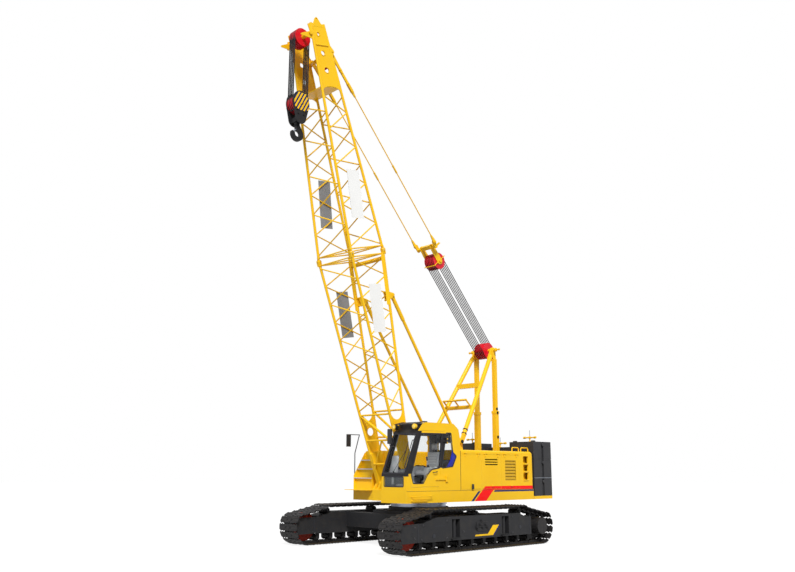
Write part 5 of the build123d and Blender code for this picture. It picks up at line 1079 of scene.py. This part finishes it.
finishShape("gaugePanel", shape, lightPlastic, "upperworks")
print("cab inside")


# lamps on the visor

lamps = {"z": 3.15, "inset": 0.045, "depth": 0.10, "lensBack": 0.006,
         "housing": [(0, 0.03), (0.02, 0.05), (0.05, 0.066), (0.104, 0.068), (0.108, 0.064)],
         "lens": [(0, 0.057), (0.008, 0.055), (0.014, 0.045), (0.018, 0.028), (0.020, 0.008)]}
low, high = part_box("cab_visor")
shape, lens = bmesh.new(), bmesh.new()
for y in (low[1] + lamps["inset"], high[1] - lamps["inset"]):
    addTurned(shape, (high[0] - lamps["depth"], y, lamps["z"]), (1, 0, 0), lamps["housing"], 28)
    addTurned(lens, (high[0] - lamps["lensBack"], y, lamps["z"]), (1, 0, 0), lamps["lens"], 28)
finishShape("lampHousings", shape, yellowPaint, "upperworks")
finishShape("lampLenses", lens, lampLens, "upperworks")


# machine house: grips, latches, seams and loops

house = {"side": 1.62, "top": 2.58, "rear": -3.27, "frontLeft": 2.07, "frontRight": 0.58,
         "loops": ((-2.74, -2.43), (-3.20, -2.85)), "loopY": 1.50, "loopRise": 0.11}
loops = []
for rear, front in house["loops"]:
    foot, top = house["top"] - 0.002, house["top"] + house["loopRise"]
    loops.append(([(x, house["loopY"], z) for x, z in ((front, foot), (front, top), (rear, top), (rear, foot))],
                  False))
bentBars("hoodLoops", loops, 0.017, 0.05, yellowPaint, "upperworks", 14)

latches = {"z": 1.60, "front": -0.47, "frontZ": (1.515, 1.655), "others": (("middle", -1.32), ("rear", -2.19))}
side, z, x = house["side"], latches["z"], latches["front"]
shape = bmesh.new()
foot, top = latches["frontZ"]
addBox(shape, (x - 0.045, side + 0.031, foot), (x + 0.045, side + 0.042, top), 0.006)
addPin(shape, (x, side + 0.04, z), (x, side + 0.056, z), 0.022, 0.004, 20)
finishShape("frontLatch", shape, mirrorBlack, "hatch_front")
for name, x in latches["others"]:
    shape = bmesh.new()
    addPin(shape, (x, side + 0.029, z), (x, side + 0.040, z), 0.024, 0.004, 20)
    addBox(shape, (x - 0.05, side + 0.036, z - 0.008), (x + 0.018, side + 0.046, z + 0.008), 0.003)
    finishShape(name + "Latch", shape, yellowPaint, "hatch_" + name)

pockets = {"x": (-3.035, -2.795), "z": ((1.76, 1.96), (2.01, 2.19), (2.24, 2.44)),
           "back": (-3.08, -2.75, 1.70, 2.50), "shelf": (-3.06, -2.77)}
shape = bmesh.new()
for low, high in pockets["z"]:
    rear, front = pockets["x"]
    addBox(shape, (rear, side - 0.012, low - 0.03), (front, side + 0.02, low + 0.002), 0.005)
    addBox(shape, (rear, side - 0.012, high - 0.002), (front, side + 0.012, high + 0.012), 0.004)
    rear, front = pockets["shelf"]
    addBox(shape, (rear, side - 0.142, low - 0.016), (front, side - 0.05, low - 0.004), 0.002)
rear, front, low, high = pockets["back"]
addBox(shape, (rear, side - 0.15, low), (front, side - 0.14, high), 0.002)
finishShape("stepLips", shape, yellowPaint, "upperworks")

cabSteps = ((1.90, 1.19, 0.08, 1.36), (1.90, 1.34, 0.04, 1.25))  # front, rear, how far out, height
steps = [([(front, side, z), (front, side + out, z), (rear, side + out, z), (rear, side, z)], False)
         for front, rear, out, z in cabSteps]
bentBars("cabSteps", steps, 0.011, 0.03, yellowPaint, "upperworks")

seams = {"sunk": 0.002, "proud": 0.0015, "upright": (-0.008, 0.002, 1.50, 2.56), "sill": (1.487, 1.494)}
shape = bmesh.new()
rear, front, low, high = seams["upright"]
addBox(shape, (rear, side - seams["sunk"], low), (front, side + seams["proud"], high), 0)
for sign, front in ((1, house["frontLeft"]), (-1, house["frontRight"])):
    ends = sorted((sign * (side - seams["sunk"]), sign * (side + seams["proud"])))
    addBox(shape, (house["rear"] + 0.01, ends[0], seams["sill"][0]), (front, ends[1], seams["sill"][1]), 0)
finishShape("panelSeams", shape, rubberSeal, "upperworks")
print("house fittings")


# counterweight: seam strips, rods above the tees

weight = {"seam": (1.806, 1.816), "tees": 1.175, "middleTop": 2.88, "rod": (-0.03, 0.19), "bossX": -3.80,
          "bosses": (2.80, 2.26, 1.70), "boss": [(0, 0.05), (0.030, 0.05), (0.040, 0.042), (0.044, 0.024)]}
low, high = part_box("counterweight")
seamStrips = bmesh.new()
for sign in (-1, 1):
    y = outerFace("counterweight", sign)
    ends = sorted((y - sign * 0.010, y + sign * 0.0015))
    foot, top = weight["seam"]
    addBox(seamStrips, (low[0] + 0.01, ends[0], foot), (high[0] - 0.01, ends[1], top), 0)
finishShape("weightSeams", seamStrips, galvanised, "upperworks")
x, teeTop = (low[0] + high[0]) / 2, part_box("lifting_fittings")[1][2]
shape = bmesh.new()
for y, top in ((-weight["tees"], teeTop), (0.0, weight["middleTop"]), (weight["tees"], teeTop)):
    addPin(shape, (x, y, top + weight["rod"][0]), (x, y, top + weight["rod"][1]), 0.010, 0.002, 12)
finishShape("teeRods", shape, galvanised, "upperworks")


# gantry: collars at the feet, pin heads and handle ends

gantry = {"foot": (-1.13, 2.85), "head": (-3.04, 5.79), "footHalf": 0.66, "headHalf": 0.35,
          "collars": (0.26, 0.40),
          "collar": [(0, 0.070), (0.006, 0.076), (0.034, 0.076), (0.04, 0.070)],
          "footPin": [(0, 0.05), (0.004, 0.052), (0.022, 0.052), (0.026, 0.046)],
          "headPin": [(0, 0.05), (0.01, 0.062), (0.03, 0.062), (0.036, 0.056)],
          "handle": [(0, 0.024), (0.09, 0.022), (0.10, 0.034), (0.13, 0.034), (0.14, 0.024)],
          "backX": -3.09, "backPins": ((3.05, 0.0), (3.80, 0.0), (3.92, 0.018))}  # height and how far in
collars, pins, places = bmesh.new(), bmesh.new(), []
(footX, footZ), (headX, headZ) = gantry["foot"], gantry["head"]
for sign in (-1, 1):
    foot = Vector((footX, sign * gantry["footHalf"], footZ))
    way = (Vector((headX, sign * gantry["headHalf"], headZ)) - foot).normalized()
    for station in gantry["collars"]:
        addTurned(collars, foot + way * station, way, gantry["collar"], 28)
    addTurned(collars, foot + Vector((0, sign * 0.031, 0)), (0, sign, 0), gantry["footPin"], 24)
    y = sign * (gantry["headHalf"] + 0.12)
    addTurned(pins, (headX, y, headZ), (0, sign, 0), gantry["headPin"], 28)
    addTurned(pins, (headX, y + sign * 0.03, headZ), (0, sign, 0), gantry["handle"], 20)
    for z, inset in gantry["backPins"]:
        places.append(((gantry["backX"], outerFace("gantry_back_legs", sign) - sign * inset, z), (0, sign, 0)))
finishShape("gantryCollars", collars, blackPaint, "upperworks")
finishShape("gantryHeadPins", pins, yellowPaint, "upperworks")
bolts("backLegPins", places, 0.05, blackPaint, "upperworks", 0.016)
print("gantry fittings")


# boom: the lines that its fittings follow, and the pin heads at its joint

boomLine = {"foot": (0.923, 1.635), "angle": math.radians(74.4), "joint": 6.5, "tip": 13.0,
            "footHalf": (0.571, 0.105), "jointHalf": (0.694, 0.6), "tipHalf": 0.443}


def onBoom(station, y, back):
    # station along the boom from its foot pin, back towards the machine's rear
    turn = boomLine["angle"]
    along, behind = Vector((math.cos(turn), 0, math.sin(turn))), Vector((-math.sin(turn), 0, math.cos(turn)))
    return Vector((boomLine["foot"][0], y, boomLine["foot"][1])) + along * station + behind * back


def footChord(station, side, level):
    # a point on one of the lower section's chords
    share = station / boomLine["joint"]
    halves = zip(boomLine["footHalf"], boomLine["jointHalf"])
    width, depth = (start + share * (end - start) for start, end in halves)
    return onBoom(station, side * width, level * depth)


def headSide(station):
    # the y of the head's side plates
    share = (station - boomLine["joint"]) / (boomLine["tip"] - boomLine["joint"])
    return boomLine["jointHalf"][0] + share * (boomLine["tipHalf"] - boomLine["jointHalf"][0]) + 0.014


boomPin = [(0, 0.034), (0.004, 0.036), (0.018, 0.036), (0.022, 0.032)]
halfWidth, halfDepth = boomLine["jointHalf"]
shape = bmesh.new()
for sign in (-1, 1):
    for back in (-halfDepth, halfDepth):
        place = onBoom(boomLine["joint"], sign * (halfWidth + 0.024), back)
        addTurned(shape, place, (0, sign, 0), boomPin, 24)
finishShape("boomPinHeads", shape, galvanised, "boom")
print("boom fittings")


# boom head: keeper on the sheave pin

low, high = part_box("head_sheaves")
headPin = Vector(((low[0] + high[0]) / 2, 0, (low[2] + high[2]) / 2))
keeper = {"inner": -0.17, "outer": -0.54, "bar": -0.53, "half": 0.10,
          "end": [(0, 0.014), (0.012, 0.032), (0.03, 0.038), (0.048, 0.032), (0.06, 0.014)]}
shape = bmesh.new()
inner, outer = headPin + Vector((0, keeper["inner"], 0)), headPin + Vector((0, keeper["outer"], 0))
addPin(shape, inner, outer, 0.022, 0.003, 20)
bar, half = headPin + Vector((0, keeper["bar"], 0)), Vector((0, 0, keeper["half"]))
addPin(shape, bar - half, bar + half, 0.02, 0.006, 20)
for end in (bar - half, bar + half):
    addTurned(shape, end - Vector((0, 0, 0.03)), (0, 0, 1), keeper["end"], 20)
finishShape("sheavePinKeeper", shape, yellowPaint, "boom")


# hook: its latch, and the bolts in the block's cheeks

hook = {"latch": ((4.672, 11.055), (4.698, 11.070), (4.806, 11.000), (4.790, 10.972)), "latchHalf": 0.032,
        "latchPin": (4.685, 11.056), "pinHalf": 0.045, "cheek": 0.172,
        "bolts": ((-0.13, -0.24), (0.13, -0.24), (-0.09, -0.34), (0.09, -0.34))}
half = hook["latchHalf"]
shape = bmesh.new()
addPlate(shape, [(x, -half, z) for x, z in hook["latch"]], (0, 2 * half, 0), 0.004)
(x, z), half = hook["latchPin"], hook["pinHalf"]
addPin(shape, (x, -half, z), (x, half, z), 0.012, 0.003, 16)
finishShape("hookLatch", shape, galvanised, "load_hook")
places = [((headPin.x + x, sign * hook["cheek"], blockPinZ + z), (0, sign, 0)) for sign in (-1, 1)
          for x, z in hook["bolts"]]
bolts("cheekBolts", places, 0.036, blackPaint, "hook_block")


# boom head: a stiffener across each side plate and a rim round each hole

headPlate = {"stiffener": 12.37, "stiffenerHalf": 0.22, "rim": 0.010,  # each hole: station, forward, radius
             "holes": ((12.69, 0.06, 0.052), (12.14, 0.03, 0.066), (11.65, 0.03, 0.078))}
rims, stiffeners = [], []
for side in (-1, 1):
    for station, forward, radius in headPlate["holes"]:
        rim, reach = [], radius + headPlate["rim"]
        for step in range(24):
            turn = 2 * math.pi * step / 24
            place = station + reach * math.cos(turn)
            rim.append(onBoom(place, side * headSide(place), reach * math.sin(turn) - forward))
        rims.append((rim, True))
    station, half = headPlate["stiffener"], headPlate["stiffenerHalf"]
    stiffeners.append(([onBoom(station, side * headSide(station), back) for back in (-half, half)], False))
bentBars("headRims", rims, headPlate["rim"], 0.004, yellowPaint, "boom")
bentBars("headStiffeners", stiffeners, 0.024, 0.02, yellowPaint, "boom")


# boom foot: crossed braces between the legs, and stays to the middle of the cross bar

braces = {"high": 2.04, "low": 1.12, "middle": (1.28, -0.19), "stays": 0.42, "bar": 0.62}
crossed = [([footChord(braces["high"], -1, level), footChord(braces["low"], 1, level)], False)
           for level in (-1, 1)]
bentBars("footBraces", crossed, 0.034, 0.02, yellowPaint, "boom")
middle = onBoom(braces["middle"][0], 0.0, braces["middle"][1])
stays = [([middle, footChord(braces["stays"], side, -1)], False) for side in (-1, 1)]
stays.append(([footChord(braces["bar"], side, -1) for side in (-1, 1)], False))
bentBars("footStays", stays, 0.026, 0.02, yellowPaint, "boom")


# mirror beside the windscreen

wing = {"y": 0.70, "up": 1.02, "off": 0.10, "half": (0.028, 0.08, 0.20),
        "arm": ((0, 0, -0.18), (0.01, 0.02, -0.26)), "armFoot": (0.96, 0.76, 0.02)}
corner = onScreen(wing["y"], wing["up"], wing["off"])
shape = bmesh.new()
addBox(shape, corner - Vector(wing["half"]), corner + Vector(wing["half"]), 0.022)
finishShape("wingMirror", shape, mirrorBlack, "upperworks")
arm = [corner + Vector(place) for place in wing["arm"]] + [onScreen(*wing["armFoot"])]
bentBars("wingMirrorArm", [(arm, False)], 0.011, 0.03, mirrorBlack, "upperworks")


# side frames: cover seams, bolts and the track adjuster's knobs

adjuster = {"z": 0.585, "knobs": ((0.20, -0.02, 0.05), (0.09, 0.06, 0.045), (-0.02, -0.02, 0.055),
                                (-0.13, 0.05, 0.045), (-0.21, -0.03, 0.05)),
            "knob": ((0, 1), (0.012, 1), (0.02, 0.7), (0.034, 0.66), (0.042, 0.5)),
            "rodHalf": 0.19, "bracket": ((-0.05, 0.09), (0.05, 0.09), (0.03, 0.17), (-0.03, 0.17))}
sideFrame = {"face": 2.33, "inner": 1.74, "uprights": ((2.38, 0.30, 0.755), (-2.08, 0.30, 0.80)),
             "sill": (1.45, 1.80, 0.655, 0.672), "caps": ((1.82, 0.43), (-1.64, 0.50)),
             "cap": [(0, 0.052), (0.008, 0.052), (0.010, 0.046)],
             "steps": (-1.0, 1.0), "step": (0.19, 0.296, 0.336), "stepOut": 0.05,
             "bolts": ((1.34, 0.36), (1.34, 0.78), (2.2, 0.70), (2.26, 0.36), (0.70, 0.48), (-1.30, 0.78),
                       (-1.30, 0.36), (2.50, 0.40), (2.50, 0.66))}
for side, sign in (("left", 1), ("right", -1)):
    face, level = sign * sideFrame["face"], adjuster["z"]
    knobs, seamStrips = bmesh.new(), bmesh.new()
    for x, z, radius in adjuster["knobs"]:
        knob = [(distance, radius * share) for distance, share in adjuster["knob"]]
        addTurned(knobs, (x, face + sign * 0.018, level + z), (0, sign, 0), knob, 24)
    half, y = adjuster["rodHalf"], face + sign * 0.028
    addPin(knobs, (-half, y, level), (half, y, level), 0.02, 0.004, 16)
    addPlate(knobs, [(x, face, level + z) for x, z in adjuster["bracket"]], (0, sign * 0.03, 0), 0.005)
    for y, way in ((face, sign), (sign * sideFrame["inner"], -sign)):
        ends = sorted((y - way * 0.002, y + way * 0.004))
        for x, foot, top in sideFrame["uprights"]:
            addBox(seamStrips, (x - 0.012, ends[0], foot), (x + 0.012, ends[1], top), 0)
        rear, front, foot, top = sideFrame["sill"]
        addBox(seamStrips, (rear, ends[0], foot), (front, ends[1], top), 0)
    for x, z in sideFrame["caps"]:
        addTurned(seamStrips, (x, face - sign * 0.002, z), (0, sign, 0), sideFrame["cap"], 24)
    ends = sorted((face - sign * 0.002, face + sign * sideFrame["stepOut"]))
    half, foot, top = sideFrame["step"]
    for x in sideFrame["steps"]:
        addBox(knobs, (x - half, ends[0], foot), (x + half, ends[1], top), 0.006)
    finishShape("adjusterKnobs_" + side, knobs, blackPaint, "undercarriage")
    finishShape("frameSeams_" + side, seamStrips, rubberSeal, "undercarriage")
    places = [((x, face, z), (0, sign, 0)) for x, z in sideFrame["bolts"]]
    bolts("frameBolts_" + side, places, 0.036, charcoalPaint, "undercarriage")


# counterweight: eye bosses in the groove of each end

shape = bmesh.new()
for sign in (-1, 1):
    for z in weight["bosses"]:
        place = (weight["bossX"], outerFace("counterweight", sign) - sign * 0.03, z)
        addTurned(shape, place, (0, sign, 0), weight["boss"], 24)
finishShape("weightBosses", shape, charcoalPaint, "upperworks")
print("small fittings")


# lights and floor

lamp = {"energy": 3.45, "softness": 14, "heading": (-0.75, -0.90, -1.10), "world": 0.36}
ground = {"size": 120.0, "below": 0.002, "grey": 0.4, "glow": 1.45, "share": 0.6}


def seenRays(tree):
    # 1 for what the camera sees, straight or in metal and glass
    rays = addNode(tree, "ShaderNodeLightPath").outputs
    return anyOf(tree, *(rays[name] for name in ("Is Camera Ray", "Is Glossy Ray", "Is Transmission Ray")))


world = bpy.data.worlds.new("studio")
bpy.context.scene.world = world
world.use_nodes = True
tree = world.node_tree
strength = addNode(tree, "ShaderNodeMapRange", (seenRays(tree), 0.0, 1.0, lamp["world"], 1.0), 0)
setInputs(tree, tree.nodes["Background"], {"Color": (1, 1, 1, 1), "Strength": strength})

sun = bpy.data.objects.new("keyLight", bpy.data.lights.new("keyLight", "SUN"))
sun.data.energy = lamp["energy"]
sun.data.angle = math.radians(lamp["softness"])
sun.rotation_euler = Vector(lamp["heading"]).to_track_quat("-Z", "Y").to_euler()
bpy.context.scene.collection.objects.link(sun)

size = ground["size"]
mesh = bpy.data.meshes.new("floor")
mesh.from_pydata([(-size, -size, 0), (size, -size, 0), (size, size, 0), (-size, size, 0)], [], [(0, 1, 2, 3)])
floor = bpy.data.objects.new("floor", mesh)
bpy.context.scene.collection.objects.link(floor)
floor.location.z = cadBounds[0][2] - ground["below"]
material = bpy.data.materials.new("paleFloor")
material.use_nodes = True
tree = material.node_tree
shader = tree.nodes["Principled BSDF"]
setInputs(tree, shader, {"Base Color": (ground["grey"], ground["grey"], ground["grey"], 1), "Roughness": 0.9})
glow = addNode(tree, "ShaderNodeEmission", {"Color": (1, 1, 1, 1), "Strength": ground["glow"]}, 0)
share = worked(tree, seenRays(tree), ("MULTIPLY", ground["share"]))
surface = addNode(tree, "ShaderNodeMixShader", (share, shader.outputs[0], glow), 0)
setInputs(tree, tree.nodes["Material Output"], {"Surface": surface})
mesh.materials.append(material)
bpy.context.scene.view_settings.view_transform = "Standard"
print("lights and floor")
